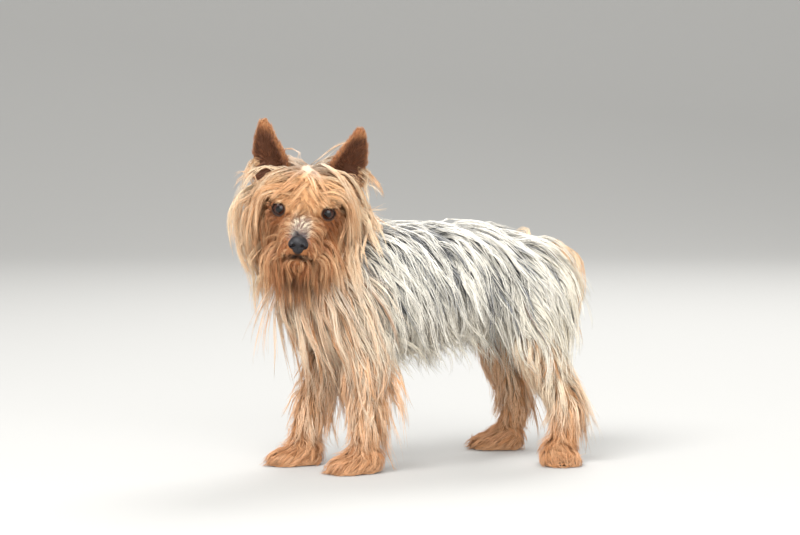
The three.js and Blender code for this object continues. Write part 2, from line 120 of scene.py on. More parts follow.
@dataclass(frozen=True)
class HeadFrame:
    """The head's own frame: +X is the dog's left, -Y the way it looks, and the origin is mid skull."""

    centre: tuple[float, float, float] = (17.6, -137.0, 245.0)
    turn: float = 64.0
    pitch: float = 10.0
    tilt: float = 5.5

    def rotation(self) -> np.ndarray:
        """The turn from the head's frame to the dog's.

        Returns:
            A 3 x 3 matrix.
        """
        z = Matrix.Rotation(math.radians(self.turn), 3, "Z")
        x = Matrix.Rotation(math.radians(self.pitch), 3, "X")
        y = Matrix.Rotation(math.radians(self.tilt), 3, "Y")
        return np.array(z @ x @ y)

    def to_dog(self, points: np.ndarray) -> np.ndarray:
        """Places in the head's frame as places in the dog's."""
        return np.asarray(points, float) @ self.rotation().T + np.array(self.centre)

    def to_head(self, points: np.ndarray) -> np.ndarray:
        """Places in the dog's frame as places in the head's."""
        return (np.asarray(points, float) - np.array(self.centre)) @ self.rotation()

    def way_to_dog(self, ways: np.ndarray) -> np.ndarray:
        """Directions in the head's frame as directions in the dog's."""
        return np.asarray(ways, float) @ self.rotation().T

    def way_to_head(self, ways: np.ndarray) -> np.ndarray:
        """Directions in the dog's frame as directions in the head's."""
        return np.asarray(ways, float) @ self.rotation()


HEAD = HeadFrame()
EYE_SPACING = 43.0
EYE_AHEAD = -16.5
EYE_UP = 1.0
NOSE_PLACE = np.array([0.0, -63.0, -19.5])


def eye_place(side: int) -> np.ndarray:
    """The middle of an eyeball in the head's frame."""
    return np.array([side * EYE_SPACING / 2, EYE_AHEAD, EYE_UP])


@dataclass(frozen=True)
class ByEye:
    """An ellipsoid by each eye: its middle from the eye outwards, back and up, and its radii."""

    offset: tuple[float, float, float]
    radii: tuple[float, float, float]

    def away(self, q: np.ndarray) -> np.ndarray:
        """How far each place is from the nearer of the two, with 1 on the ellipsoid.

        Args:
            q: Places in the head's frame.

        Returns:
            A distance for each.
        """
        both = []
        for s in SIDES:
            middle = eye_place(s) + np.array(self.offset) * np.array([s, 1.0, 1.0])
            both.append(np.linalg.norm((q - middle) / np.array(self.radii), axis=-1))
        return np.min(both, axis=0)


@dataclass(frozen=True)
class Region:
    """A part of the dog with soft edges, in the dog's frame or in the head's.

    Each axis has where the region begins and where it is full. Where there are four numbers, the last
    two are where it starts to fade and where it ends. The side is measured from the middle plane.
    """

    x: tuple[float, ...] = ()
    y: tuple[float, ...] = ()
    z: tuple[float, ...] = ()
    side: tuple[float, ...] = ()

    def share(self, points: np.ndarray) -> np.ndarray:
        """How far each place is inside the region.

        Args:
            points: Places in the region's frame.

        Returns:
            A number from 0 to 1 for each.
        """
        made = np.ones(len(points))
        axes = (points[:, 0], points[:, 1], points[:, 2], np.abs(points[:, 0]))
        for edges, at in zip((self.x, self.y, self.z, self.side), axes):
            if edges:
                made = made * smooth(edges[0], edges[1], at)
            if len(edges) == 4:
                made = made * smooth(edges[3], edges[2], at)
        return made

    def column(self, points: np.ndarray) -> np.ndarray:
        """The same shares, as a column that multiplies directions."""
        return self.share(points)[:, None]


@dataclass(frozen=True)
class Spots:
    """Places on the skin or along the strands, in the dog's frame, with the skin's normals there."""

    p: np.ndarray
    n: np.ndarray

    @property
    def q(self) -> np.ndarray:
        """The places in the head's frame."""
        return HEAD.to_head(self.p)

    @property
    def m(self) -> np.ndarray:
        """The normals in the head's frame."""
        return HEAD.way_to_head(self.n)


@dataclass(frozen=True)
class Lump:
    """One ellipsoid of flesh: its middle, its axes as columns, its radii and its zone."""

    centre: np.ndarray
    axes: np.ndarray
    radii: np.ndarray
    zone: Zone

    def moved_from_head(self) -> "Lump":
        """The same lump, given in the head's frame, in the dog's."""
        return Lump(HEAD.to_dog(self.centre), HEAD.rotation() @ self.axes, self.radii, self.zone)


@dataclass(frozen=True)
class Limb:
    """A round body drawn through stations of x, y, z, half width and half height."""

    zone: Zone
    stations: tuple[tuple[float, float, float, float, float], ...]
    count: int = 9
    fullness: float = 2.6
    top: tuple[float, float, float] = (0.0, 0.0, 1.0)
    first: float = 0.07
    last: float = 0.93
    overlap: float = 1.25

    def at(self, t: float) -> tuple[np.ndarray, np.ndarray]:
        """The middle, and the half width and half height, at t from 0 to 1 along the body.

        Args:
            t: How far along.

        Returns:
            The middle, and the two half sizes.
        """
        s = np.array(self.stations)
        end = len(s) - 1
        place = min(t * end, end - 1e-9)
        i = int(place)
        f = place - i
        a, b = s[i, :3], s[i + 1, :3]
        before = s[i - 1, :3] if i else 2 * a - b
        after = s[i + 2, :3] if i + 2 <= end else 2 * b - a
        m0, m1 = (b - before) / 2, (after - a) / 2
        h = (2 * f**3 - 3 * f**2 + 1, f**3 - 2 * f**2 + f, -2 * f**3 + 3 * f**2, f**3 - f**2)
        return h[0] * a + h[1] * m0 + h[2] * b + h[3] * m1, s[i, 3:] * (1 - f) + s[i + 1, 3:] * f

    def lumps(self) -> list[Lump]:
        """The body as a chain of ellipsoids that overlap.

        Returns:
            The lumps.
        """
        made = []
        run = self.at(self.last)[0] - self.at(self.first)[0]
        step = np.linalg.norm(run) / (self.count - 1)
        for t in np.linspace(self.first, self.last, self.count):
            centre, size = self.at(t)
            along = unit(self.at(min(t + 0.02, 1.0))[0] - self.at(max(t - 0.02, 0.0))[0])
            side = unit(np.cross(np.array(self.top), along))
            high = np.cross(along, side)
            end = (1 - abs(2 * t - 1) ** self.fullness) ** (1 / self.fullness)
            reach = max(step * self.overlap, 0.35 * min(size) * end)
            radii = np.array([size[0] * end, reach, size[1] * end])
            made.append(Lump(centre, np.column_stack([side, along, high]), radii, self.zone))
        return made


def ball(zone: Zone, centre: tuple[float, float, float], radii: tuple[float, float, float]) -> Lump:
    """A lump whose axes are those of its frame."""
    return Lump(np.array(centre), np.eye(3), np.array(radii), zone)


@dataclass
class Anatomy:
    """The whole dog as lumps, from the same stations as its CAD source."""

    fore_place: dict[int, tuple[float, float]] = field(
        default_factory=lambda: {1: (33.0, CHEST_Y + 16), -1: (-37.0, CHEST_Y - 15)}
    )
    hind_place: dict[int, tuple[float, float]] = field(
        default_factory=lambda: {1: (55.0, HIP_Y + 1), -1: (-51.0, HIP_Y - 2)}
    )
    fore_turn: dict[int, float] = field(default_factory=lambda: {1: 4.0, -1: -6.0})
    hind_turn: dict[int, float] = field(default_factory=lambda: {1: 74.0, -1: -34.0})
    toes: tuple[tuple[float, float], ...] = ((-11, -15), (-4, -20), (4, -20), (11, -15))

    def torso(self) -> list[Lump]:
        """The trunk with the shoulders and the haunches.

        Returns:
            Their lumps.
        """
        y, z = CHEST_Y, WITHERS
        trunk = Limb(
            Zone.TORSO,
            (
                (0, y - 42, 162, 22, 26),
                (0, y - 16, z - 56, 36, 46),
                (0, y + 14, z - 54, 41, 54),
                (0, y + 60, z - 52, 42, 52),
                (0, 10, z - 50, 42, 49),
                (0, HIP_Y - 45, z - 50, 38, 44),
                (0, HIP_Y - 5, z - 55, 36, 41),
                (0, HIP_Y + 27, z - 62, 25, 31),
            ),
            16,
            2.8,
        )
        made = trunk.lumps()
        for s in SIDES:
            shoulder = (
                (s * 22, y + 2, 190, 16, 24),
                (s * 30, y - 2, 155, 17, 25),
                (s * 34, y + 18, 116, 12, 16),
            )
            haunch = (
                (s * 20, HIP_Y - 8, 196, 16, 26),
                (s * 34, HIP_Y - 10, 160, 18, 30),
                (s * 44, HIP_Y - 18, 116, 13, 20),
            )
            for stations in (shoulder, haunch):
                made += Limb(Zone.TORSO, stations, 6, 2.6, (0, 1, 0)).lumps()
        return made

    def neck(self) -> list[Lump]:
        """The neck, from the withers to the back of the skull.

        Returns:
            Its lumps.
        """
        stations = (
            (0, CHEST_Y + 16, 180, 30, 34),
            (4, CHEST_Y - 8, 196, 29, 33),
            (12, CHEST_Y - 26, 220, 28, 30),
            (17, CHEST_Y - 33, 246, 25, 27),
        )
        return Limb(Zone.NECK, stations, 7, 4.0, (0, -1, 0)).lumps()

    def legs(self) -> list[Lump]:
        """The four legs, from the elbow and the knee down.

        Returns:
            Their lumps.
        """
        made = []
        for s in SIDES:
            x, y = self.fore_place[s]
            fore = (
                (s * 34, CHEST_Y + 20, 130, 12, 15),
                (s * 34, (CHEST_Y + 20 + y) / 2, 84, 9.5, 11),
                (x, y + 4, 44, 8, 9),
                (x, y + 1, 16, 9, 10),
            )
            made += Limb(Zone.FORELEG, fore, 14, 6.0, (0, 1, 0)).lumps()
            x, y = self.hind_place[s]
            hind = (
                (s * 43, HIP_Y - 20, 126, 13, 19),
                (s * 47, HIP_Y - 10, 92, 11, 14),
                (x, y + 10, 56, 8, 10),
                (x, y + 3, 16, 9, 10),
            )
            made += Limb(Zone.HINDLEG, hind, 14, 6.0, (0, 1, 0)).lumps()
        return made

    def paw_frames(self) -> list[tuple[np.ndarray, float]]:
        """Where each paw stands, and how far it turns, in degrees."""
        fore = [(np.array(self.fore_place[s]), self.fore_turn[s]) for s in SIDES]
        return fore + [(np.array(self.hind_place[s]), self.hind_turn[s]) for s in SIDES]

    def paws(self) -> list[Lump]:
        """Four paws of four toes.

        Returns:
            Their lumps.
        """
        made = []
        for (x, y), turn in self.paw_frames():
            spin = np.array(Matrix.Rotation(math.radians(turn), 3, "Z"))
            parts = [((0, 0, 9), (15, 18, 13))]
            parts += [((across, ahead, 6.2), (5.6, 11, 7.0)) for across, ahead in self.toes]
            for centre, radii in parts:
                place = spin @ np.array(centre, float) + np.array([x, y, 0.0])
                made.append(Lump(place, spin, np.array(radii, float), Zone.PAW))
        return made

    def tail(self) -> list[Lump]:
        """The tail, held down against the rump.

        Returns:
            Its lumps.
        """
        stations = (
            (0, HIP_Y + 18, 200, 10, 10),
            (0, HIP_Y + 33, 192, 9, 8),
            (0, HIP_Y + 38, 174, 8, 6),
            (0, HIP_Y + 36, 152, 5, 4),
        )
        return Limb(Zone.TAIL, stations, 8, 4.0, (0, 1, 0)).lumps()

    def head(self) -> list[Lump]:
        """The skull, the mane's core, the cheeks, the muzzle, the lips and the jaw.

        Returns:
            Their lumps, in the dog's frame.
        """
        made = [
            ball(Zone.CROWN, (0, 8, 9), (33, 37, 28)),
            ball(Zone.FACE, (0, 2, -12), (38, 26, 26)),
            ball(Zone.MANE, (0, 16, -14), (43, 27, 44)),
        ]
        muzzle = ((0, -6, -12, 23, 20), (0, -32, -17, 18, 15), (0, -48, -21, 15, 12), (0, -63, -22, 12, 10))
        jaw = ((0, -8, -36, 17, 8.5), (0, -34, -39.5, 13, 7), (0, -58, -39.5, 9, 5))
        made += Limb(Zone.MUZZLE, muzzle, 9, 4.0).lumps()
        made += Limb(Zone.JAW, jaw, 7, 4.0).lumps()
        for s in SIDES:
            lips = ((s * 2, -62, -28.5, 3, 3), (s * 12, -54, -28.5, 4, 3.4), (s * 17, -36, -27.5, 4, 3.4))
            made += Limb(Zone.MUZZLE, lips, 6, 3.0).lumps()
            made.append(ball(Zone.FACE, (s * 19, -19, 12.5), (12, 7, 5)))
            made.append(ball(Zone.FACE, (s * 21, -13, -8), (11, 9, 6)))
        return [lump.moved_from_head() for lump in made]

    def ear(self, side: int, scale: float = 1.0, ahead: float = 0.0, rise: float = 0.0) -> list[Lump]:
        """An ear's shell, or the smaller form that hollows its cup when it is moved ahead.

        Args:
            side: 1 for the left ear and -1 for the right.
            scale: The size of its section.
            ahead: How far it is moved ahead.
            rise: How far its lower half is raised.

        Returns:
            Its lumps, in the dog's frame.
        """
        x = ahead * 0.4
        stations = (
            (side * (32 + x), 8 - ahead, 22 + rise, 20 * scale, 8 * scale),
            (side * (36 + x), 6 - ahead, 40 + rise, 18 * scale, 7 * scale),
            (side * (41 + x), 4 - ahead, 57, 12.5 * scale, 4.8 * scale),
            (side * (44.5 + x), 2 - ahead, 77, 4.4 * scale, 2.2 * scale),
        )
        lumps = Limb(Zone.EAR, stations, 13, 5.0, (side * 0.45, -1.0, 0.1)).lumps()
        return [lump.moved_from_head() for lump in lumps]

    def lumps(self) -> list[Lump]:
        """Every lump of flesh."""
        ears = self.ear(1) + self.ear(-1)
        return self.torso() + self.neck() + self.legs() + self.paws() + self.tail() + self.head() + ears


# Objects and operators


def choose(*objects: bpy.types.Object) -> None:
    """Makes these objects the only selected ones, with the first active.

    Args:
        objects: The objects.
    """
    bpy.ops.object.select_all(action="DESELECT")
    for o in objects:
        o.select_set(True)
    bpy.context.view_layer.objects.active = objects[0]


def joined(name: str, objects: list[bpy.types.Object]) -> bpy.types.Object:
    """Joins objects to one that sits at the origin.

    Args:
        name: The name of the joined object.
        objects: What is joined, at least two.

    Returns:
        The joined object, with its place in its mesh.
    """
    choose(*objects)
    bpy.ops.object.join()
    piece = bpy.context.active_object
    bpy.ops.object.transform_apply(location=True, rotation=True, scale=True)
    piece.name = name
    return piece


def apply(piece: bpy.types.Object, kind: str, **settings: object) -> None:
    """Adds a modifier to a piece and applies it.

    Args:
        piece: The object.
        kind: The modifier's type.
        settings: The modifier's properties.
    """
    choose(piece)
    modifier = piece.modifiers.new(kind.lower(), kind)
    for name, value in settings.items():
        setattr(modifier, name, value)
    bpy.ops.object.modifier_apply(modifier=modifier.name)


@dataclass(frozen=True)
class Voxels:
    """How finely a carved piece is fused, in millimetres: itself, its cutter, and itself once cut."""

    first: float
    cutter: float
    last: float

    def carve(self, piece: bpy.types.Object, cutter: bpy.types.Object) -> None:
        """Fuses a piece, cuts another out of it, and fuses and smooths what is left.

        Args:
            piece: The object that is carved.
            cutter: What is cut out, which is then removed.
        """
        apply(piece, "REMESH", mode="VOXEL", voxel_size=self.first * MM)
        apply(cutter, "REMESH", mode="VOXEL", voxel_size=self.cutter * MM)
        apply(piece, "BOOLEAN", operation="DIFFERENCE", object=cutter, solver="EXACT")
        bpy.data.objects.remove(cutter)
        apply(piece, "REMESH", mode="VOXEL", voxel_size=self.last * MM)
        apply(piece, "SMOOTH", factor=0.5, iterations=3)


@dataclass(frozen=True)
class Place:
    """Where the dog's own millimetres lie in the frame, found from the left eye's solid."""

    shift: np.ndarray

    @classmethod
    def found(cls) -> "Place":
        """Finds the place from the middle of the eye's box.

        Returns:
            The place.
        """
        low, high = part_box("eye_left")
        middle = (np.array(low) + np.array(high)) / 2
        return cls(middle - HEAD.to_dog(eye_place(1)) * MM)

    def metres(self, points: np.ndarray) -> np.ndarray:
        """The dog's millimetres as places in the frame."""
        return np.asarray(points) * MM + self.shift

    def dog(self, points: np.ndarray) -> np.ndarray:
        """Places in the frame as the dog's millimetres."""
        return (np.asarray(points) - self.shift) / MM


def from_lumps(name: str, lumps: list[Lump], place: Place, segments: int = 20) -> bpy.types.Object:
    """One object of a round primitive for each lump, joined.

    Args:
        name: The object's name.
        lumps: The ellipsoids, in the dog's millimetres.
        place: Where the dog stands.
        segments: The primitives' segments.

    Returns:
        The joined object, with its place in its mesh.
    """
    made = []
    for lump in lumps:
        bpy.ops.object.select_all(action="DESELECT")
        bpy.ops.mesh.primitive_uv_sphere_add(
            segments=segments,
            ring_count=segments // 2,
            radius=1.0,
            location=Vector(place.metres(lump.centre)),
            rotation=Matrix(lump.axes.tolist()).to_euler(),
            scale=Vector(lump.radii * MM),
        )
        made.append(bpy.context.active_object)
    return joined(name, made)


def read(items: bpy.types.bpy_prop_collection, what: str, width: int, kind: type = np.float32) -> np.ndarray:
    """Reads a number or a vector from each item of a mesh.

    Args:
        items: The mesh's vertices, normals, faces or corners.
        what: The property's name.
        width: How many numbers each item has.
        kind: The numbers' type.

    Returns:
        A row for each item.
    """
    flat = np.empty(len(items) * width, kind)
    items.foreach_get(what, flat)
    return flat.reshape(-1, width)


def points_of(piece: bpy.types.Object) -> np.ndarray:
    """A mesh's vertices in metres."""
    return read(piece.data.vertices, "co", 3).astype(float)


def normals_of(piece: bpy.types.Object) -> np.ndarray:
    """A mesh's vertex normals."""
    return read(piece.data.vertex_normals, "vector", 3).astype(float)


def move_points(piece: bpy.types.Object, metres: np.ndarray) -> None:
    """Moves a mesh's vertices to new places in metres."""
    piece.data.vertices.foreach_set("co", metres.astype(np.float32).ravel())
    piece.data.update()


def paint(mesh: bpy.types.Mesh, colours: np.ndarray) -> None:
    """Gives a mesh a colour at each vertex, under the name that its material reads.

    Args:
        mesh: The mesh.
        colours: A linear colour for each vertex.
    """
    layer = mesh.color_attributes.new(MARKING, "FLOAT_COLOR", "POINT")
    rgba = np.ones((len(colours), 4), np.float32)
    rgba[:, :3] = colours
    layer.data.foreach_set("color", rgba.ravel())


# Markings


def hair(red: float, green: float, blue: float) -> np.ndarray:
    """A field that holds a colour given in 0 to 255."""
    return field(default_factory=lambda: linear(red, green, blue))


@dataclass(frozen=True)
class Palette:
    """The coat's colours."""

    white: np.ndarray = hair(242, 238, 228)
    silver: np.ndarray = hair(212, 208, 198)
    steel: np.ndarray = hair(134, 138, 147)
    slate: np.ndarray = hair(62, 65, 73)
    cream: np.ndarray = hair(240, 228, 204)
    blonde: np.ndarray = hair(238, 208, 168)
    gold: np.ndarray = hair(232, 182, 132)
    tan: np.ndarray = hair(214, 156, 106)
    peach: np.ndarray = hair(234, 194, 158)
    rust: np.ndarray = hair(188, 116, 68)
    umber: np.ndarray = hair(112, 68, 44)
    black: np.ndarray = hair(34, 28, 27)
    slate_pink: np.ndarray = hair(150, 128, 122)


def mix(a: np.ndarray, b: np.ndarray, f: np.ndarray) -> np.ndarray:
    """Colours from a to b by a factor for each."""
    return a * (1.0 - f[:, None]) + b * f[:, None]


@dataclass(frozen=True)
class Turn:
    """A colour that strands turn to between two picks, and how far."""

    colour: np.ndarray
    begins: float
    full: float
    strength: float = 1.0


def ramp(pick: np.ndarray, first: np.ndarray, *turns: Turn) -> np.ndarray:
    """A colour for each strand by its pick, a number from 0, dark, to 1, light.

    Args:
        pick: The picks.
        first: The colour of the darkest strands.
        turns: The colours after it.

    Returns:
        A colour for each pick.
    """
    made = first
    for turn in turns:
        made = mix(made, turn.colour, turn.strength * smooth(turn.begins, turn.full, pick))
    return made


@dataclass(frozen=True)
class BodyRegions:
    """Where the markings of the body and the legs are, in the dog's frame."""

    flank: Region = Region(z=(190, 140))
    rump: Region = Region(y=(60, 112))
    breast: Region = Region(y=(-62, -112), z=(228, 190))
    chest: Region = Region(y=(-74, -116), z=(212, 172))
    back: Region = Region(z=(195, 215))
    throat: Region = Region(z=(170, 188))
    above_paw: Region = Region(z=(14, 60))
    near_thigh: Region = Region(x=(-10, 20), y=(40, 80), z=(48, 96))


@dataclass(frozen=True)
class HeadRegions:
    """Where the markings of the head are, in the head's frame."""

    under: Region = Region(y=(16, -8))
    outer: Region = Region(side=(24, 40))
    brow: Region = Region(z=(2, 8, 22, 30), side=(28, 16))
    parting: Region = Region(y=(46, 20), z=(29, 39))
    inner: Region = Region(y=(16, 0), z=(-66, -46, 6, 16), side=(20, 28, 40, 49))
    beard: Region = Region(y=(6, -18), z=(2, -16), side=(40, 24))
    chin: Region = Region(z=(-60, -54, -38, -34), side=(14, 8))
    # painted shadow: the throat under the chin, between the beard's halves
    recess: Region = Region(side=(15, 9))
    bridge: Region = Region(y=(-22, -36), z=(-24, -16, -4, 6), side=(12, 5))
    muzzle_top: Region = Region(y=(-50, -58), z=(-20, -14), side=(9, 4))
    mouth: Region = Region(y=(-36, -46), side=(12, 7))
    lip: Region = Region(y=(-54, -58), z=(-36, -32), side=(3.6, 2))
    cup: Region = Region(z=(72, 62))


@dataclass(frozen=True)
class Markings:
    """The colour of the coat at a place, the same for the skin and for each strand's root."""

    palette: Palette = Palette()
    body_at: BodyRegions = BodyRegions()
    head_at: HeadRegions = HeadRegions()
    hollow: ByEye = ByEye((4, -4, -5), (15, 18, 12))
    lid: ByEye = ByEye((1.2, -6, 0), (8, 8, 8))
    parting_width: float = 15.0
    recess_height: float = -64.0
    recess_width: float = 6.5
    mouth_height: float = -32.5
    mouth_sag: float = 0.004
    mouth_width: float = 2.6
    ear_heights: tuple[float, ...] = (22, 40, 57, 77)
    ear_middles: tuple[float, ...] = (32, 36, 41, 45)
    ear_halves: tuple[float, ...] = (20, 18, 11.5, 2.4)
    ear_turn: float = 0.4

    def body(self, at: Spots, pick: np.ndarray) -> np.ndarray:
        """The trunk: silver and steel over the back, cream below and on the rump, blonde on the chest.

        Args:
            at: Where the hair grows.
            pick: A number from 0, dark, to 1, light, for each place.

        Returns:
            A colour for each place.
        """
        c, here = self.palette, self.body_at
        low = here.flank.share(at.p)
        pick = np.clip(pick + 0.17 * low, 0.0, 1.0)
        silver, white = Turn(c.silver, 0.34, 0.46), Turn(c.white, 0.46, 0.6)
        back = ramp(pick, c.slate * 0.8, Turn(c.steel * 0.9, 0.18, 0.34), silver, white)
        dark = mix(c.slate * 1.3, c.tan, 0.6 * low)
        cream, pale = Turn(c.cream, 0.3, 0.5), Turn(c.white, 0.6, 0.8, 0.6)
        warm = ramp(pick, dark, Turn(c.silver, 0.12, 0.32), cream, pale)
        ends = 0.75 * here.rump.share(at.p) + 0.75 * here.breast.share(at.p)
        made = mix(back, warm, np.clip(0.12 + 0.45 * low + ends, 0.0, 1.0))
        chest = ramp(pick, c.tan, Turn(c.peach, 0.15, 0.4), Turn(c.cream, 0.5, 0.85, 0.65))
        made = mix(made, chest, 0.9 * here.chest.share(at.p))
        top = smooth(0.62, 0.97, at.n[:, 2]) * here.back.share(at.p)
        return mix(made, c.white, 0.55 * top * (0.4 + 0.6 * pick))

    def neck(self, at: Spots, pick: np.ndarray) -> np.ndarray:
        """The neck: golden under the face, and as the back behind it.

        Args:
            at: Where the hair grows.
            pick: A number from 0, dark, to 1, light, for each place.

        Returns:
            A colour for each place.
        """
        under = self.head_at.under.share(at.q) * self.body_at.throat.share(at.p)
        return mix(self.body(at, pick), self.head(at, pick), under)

    def head(self, at: Spots, pick: np.ndarray) -> np.ndarray:
        """The head: gold, cream along the parting, rust round the eyes and the beard, black lips with
        painted shade along the mouth, and a painted shadow under the chin.

        Args:
            at: Where the hair grows.
            pick: A number from 0, dark, to 1, light, for each place.

        Returns:
            A colour for each place.
        """
        c, here, q = self.palette, self.head_at, at.q
        side, height = np.abs(q[:, 0]), q[:, 2]
        gold = ramp(pick, c.tan * 0.85, Turn(c.gold, 0.1, 0.45), Turn(c.blonde, 0.5, 0.85, 0.9))
        gold = mix(gold, ramp(pick, c.gold, Turn(c.cream, 0.15, 0.8)), 0.55 * here.outer.share(q))
        gold = mix(gold, mix(c.tan, c.gold, pick), 0.6 * here.brow.share(q))
        parting = hump(side, 0.0, self.parting_width) * here.parting.share(q)
        made = mix(gold, c.white, 0.85 * parting * (0.5 + 0.5 * pick))
        made = mix(made, ramp(pick, c.rust, Turn(c.gold, 0.2, 0.8)), 0.7 * here.inner.share(q))
        ruddy = ramp(pick, c.rust * 0.8, Turn(c.gold * 0.9, 0.35, 1.05))
        made = mix(made, ruddy, 0.8 * here.beard.share(q))
        made = mix(made, ramp(pick, c.rust * 0.8, Turn(c.tan, 0.3, 0.9)), 0.85 * here.chin.share(q))
        # Painted shadow under the chin, between the beard's halves: the hair there is darkened towards dark
        # umber.
        recess = hump(height, self.recess_height, self.recess_width) * here.recess.share(q)
        made = mix(made, c.umber * 0.35, 0.88 * recess)
        made = mix(made, c.rust * 0.8, 0.85 * smooth(1.25, 0.45, self.hollow.away(q)))
        made = mix(made, c.black, 0.95 * smooth(1.0, 0.825, self.lid.away(q)))
        pale = ramp(pick, c.slate_pink, Turn(c.cream, 0.35, 0.75))
        made = mix(made, pale, 0.85 * here.bridge.share(q))
        made = mix(made, c.slate * 1.2, 0.8 * here.muzzle_top.share(q))
        # The black along the mouth's line is partly the lips' own black and partly painted shade in the slot
        # between the lips.
        line = self.mouth_height - self.mouth_sag * side**2
        mouth = hump(height, line, self.mouth_width) * here.mouth.share(q)
        return mix(made, c.black, np.maximum(0.9 * mouth, 0.8 * here.lip.share(q)))

    def ear(self, at: Spots, pick: np.ndarray) -> np.ndarray:
        """The ears: dark brown in the cup, tan outside and along the rim.

        Args:
            at: Where the hair grows.
            pick: A number from 0, dark, to 1, light, for each place.

        Returns:
            A colour for each place.
        """
        c, q, m = self.palette, at.q, at.m
        facing = m[:, 0] * np.sign(q[:, 0]) * self.ear_turn - m[:, 1]
        middle = np.interp(q[:, 2], self.ear_heights, self.ear_middles)
        across = np.abs(np.abs(q[:, 0]) - middle) / np.interp(q[:, 2], self.ear_heights, self.ear_halves)
        inside = smooth(0.05, 0.5, facing) * smooth(0.9, 0.7, across) * self.head_at.cup.share(q)
        outer = ramp(pick, c.rust * 0.8, Turn(c.tan * 0.9, 0.1, 0.8))
        return mix(outer, mix(c.umber * 0.5, c.umber * 1.5, pick), inside)

    def leg(self, at: Spots, pick: np.ndarray) -> np.ndarray:
        """The legs: tan, with cream on the hind legs above the hock.

        Args:
            at: Where the hair grows.
            pick: A number from 0, dark, to 1, light, for each place.

        Returns:
            A colour for each place.
        """
        c, here = self.palette, self.body_at
        above = here.above_paw.share(at.p)
        made = mix(c.tan, c.gold, smooth(0.1, 0.5, pick) * (0.4 + 0.6 * above))
        made = mix(made, c.rust, 0.22 * (1.0 - above))
        made = mix(made, c.peach, (0.35 + 0.55 * above) * smooth(0.2, 0.6, pick))
        made = mix(made, c.cream, 0.5 * above * smooth(0.6, 0.9, pick))
        return mix(made, ramp(pick, c.tan, Turn(c.cream, 0.1, 0.6)), 0.7 * here.near_thigh.share(at.p))

    def tail(self, at: Spots, pick: np.ndarray) -> np.ndarray:
        """The tail: golden tan with cream strands.

        Args:
            at: Where the hair grows, which doesn't matter here.
            pick: A number from 0, dark, to 1, light, for each place.

        Returns:
            A colour for each place.
        """
        c = self.palette
        return mix(mix(c.gold, c.blonde, pick), c.cream, 0.5 * smooth(0.5, 0.9, pick))

    def colours(self, zones: np.ndarray, at: Spots, pick: np.ndarray) -> np.ndarray:
        """The colour at each place.

        Args:
            zones: The index of each place's zone.
            at: The places.
            pick: A number from 0, dark, to 1, light, for each.

        Returns:
            A linear colour for each place.
        """
        rules = {Zone.TORSO: self.body, Zone.NECK: self.neck, Zone.EAR: self.ear, Zone.TAIL: self.tail}
        rules |= {Zone.FORELEG: self.leg, Zone.HINDLEG: self.leg, Zone.PAW: self.leg}
        made = np.zeros((len(at.p), 3))
        for i, zone in enumerate(ZONES):
            here = zones == i
            if here.any():
                made[here] = rules.get(zone, self.head)(Spots(at.p[here], at.n[here]), pick[here])
        return made


# Materials


class Value:
    """A shader socket that takes part in arithmetic."""

    def __init__(self, tree: "Tree", socket: bpy.types.NodeSocket) -> None:
        """Wraps a socket of a node tree."""
        self.tree = tree
        self.socket = socket

    def _with(self, operation: str, other: "Value | float", swap: bool = False) -> "Value":
        """A maths node of this value and another."""
        pair = (other, self) if swap else (self, other)
        return self.tree.node("ShaderNodeMath", {"operation": operation}, {0: pair[0], 1: pair[1]})

    def __add__(self, other: "Value | float") -> "Value":
        """This value plus another."""
        return self._with("ADD", other)

    __radd__ = __add__

    def __mul__(self, other: "Value | float") -> "Value":
        """This value times another."""
        return self._with("MULTIPLY", other)

    __rmul__ = __mul__

    def __sub__(self, other: "Value | float") -> "Value":
        """This value less another."""
        return self._with("SUBTRACT", other)

    def __rsub__(self, other: float) -> "Value":
        """Another value less this."""
        return self._with("SUBTRACT", other, True)

    def step(self, low: float, high: float) -> "Value":
        """A smooth step of this value from 0 at low to 1 at high."""
        sockets = {"Value": self, "From Min": low, "From Max": high}
        return self.tree.node("ShaderNodeMapRange", {"interpolation_type": "SMOOTHSTEP"}, sockets)


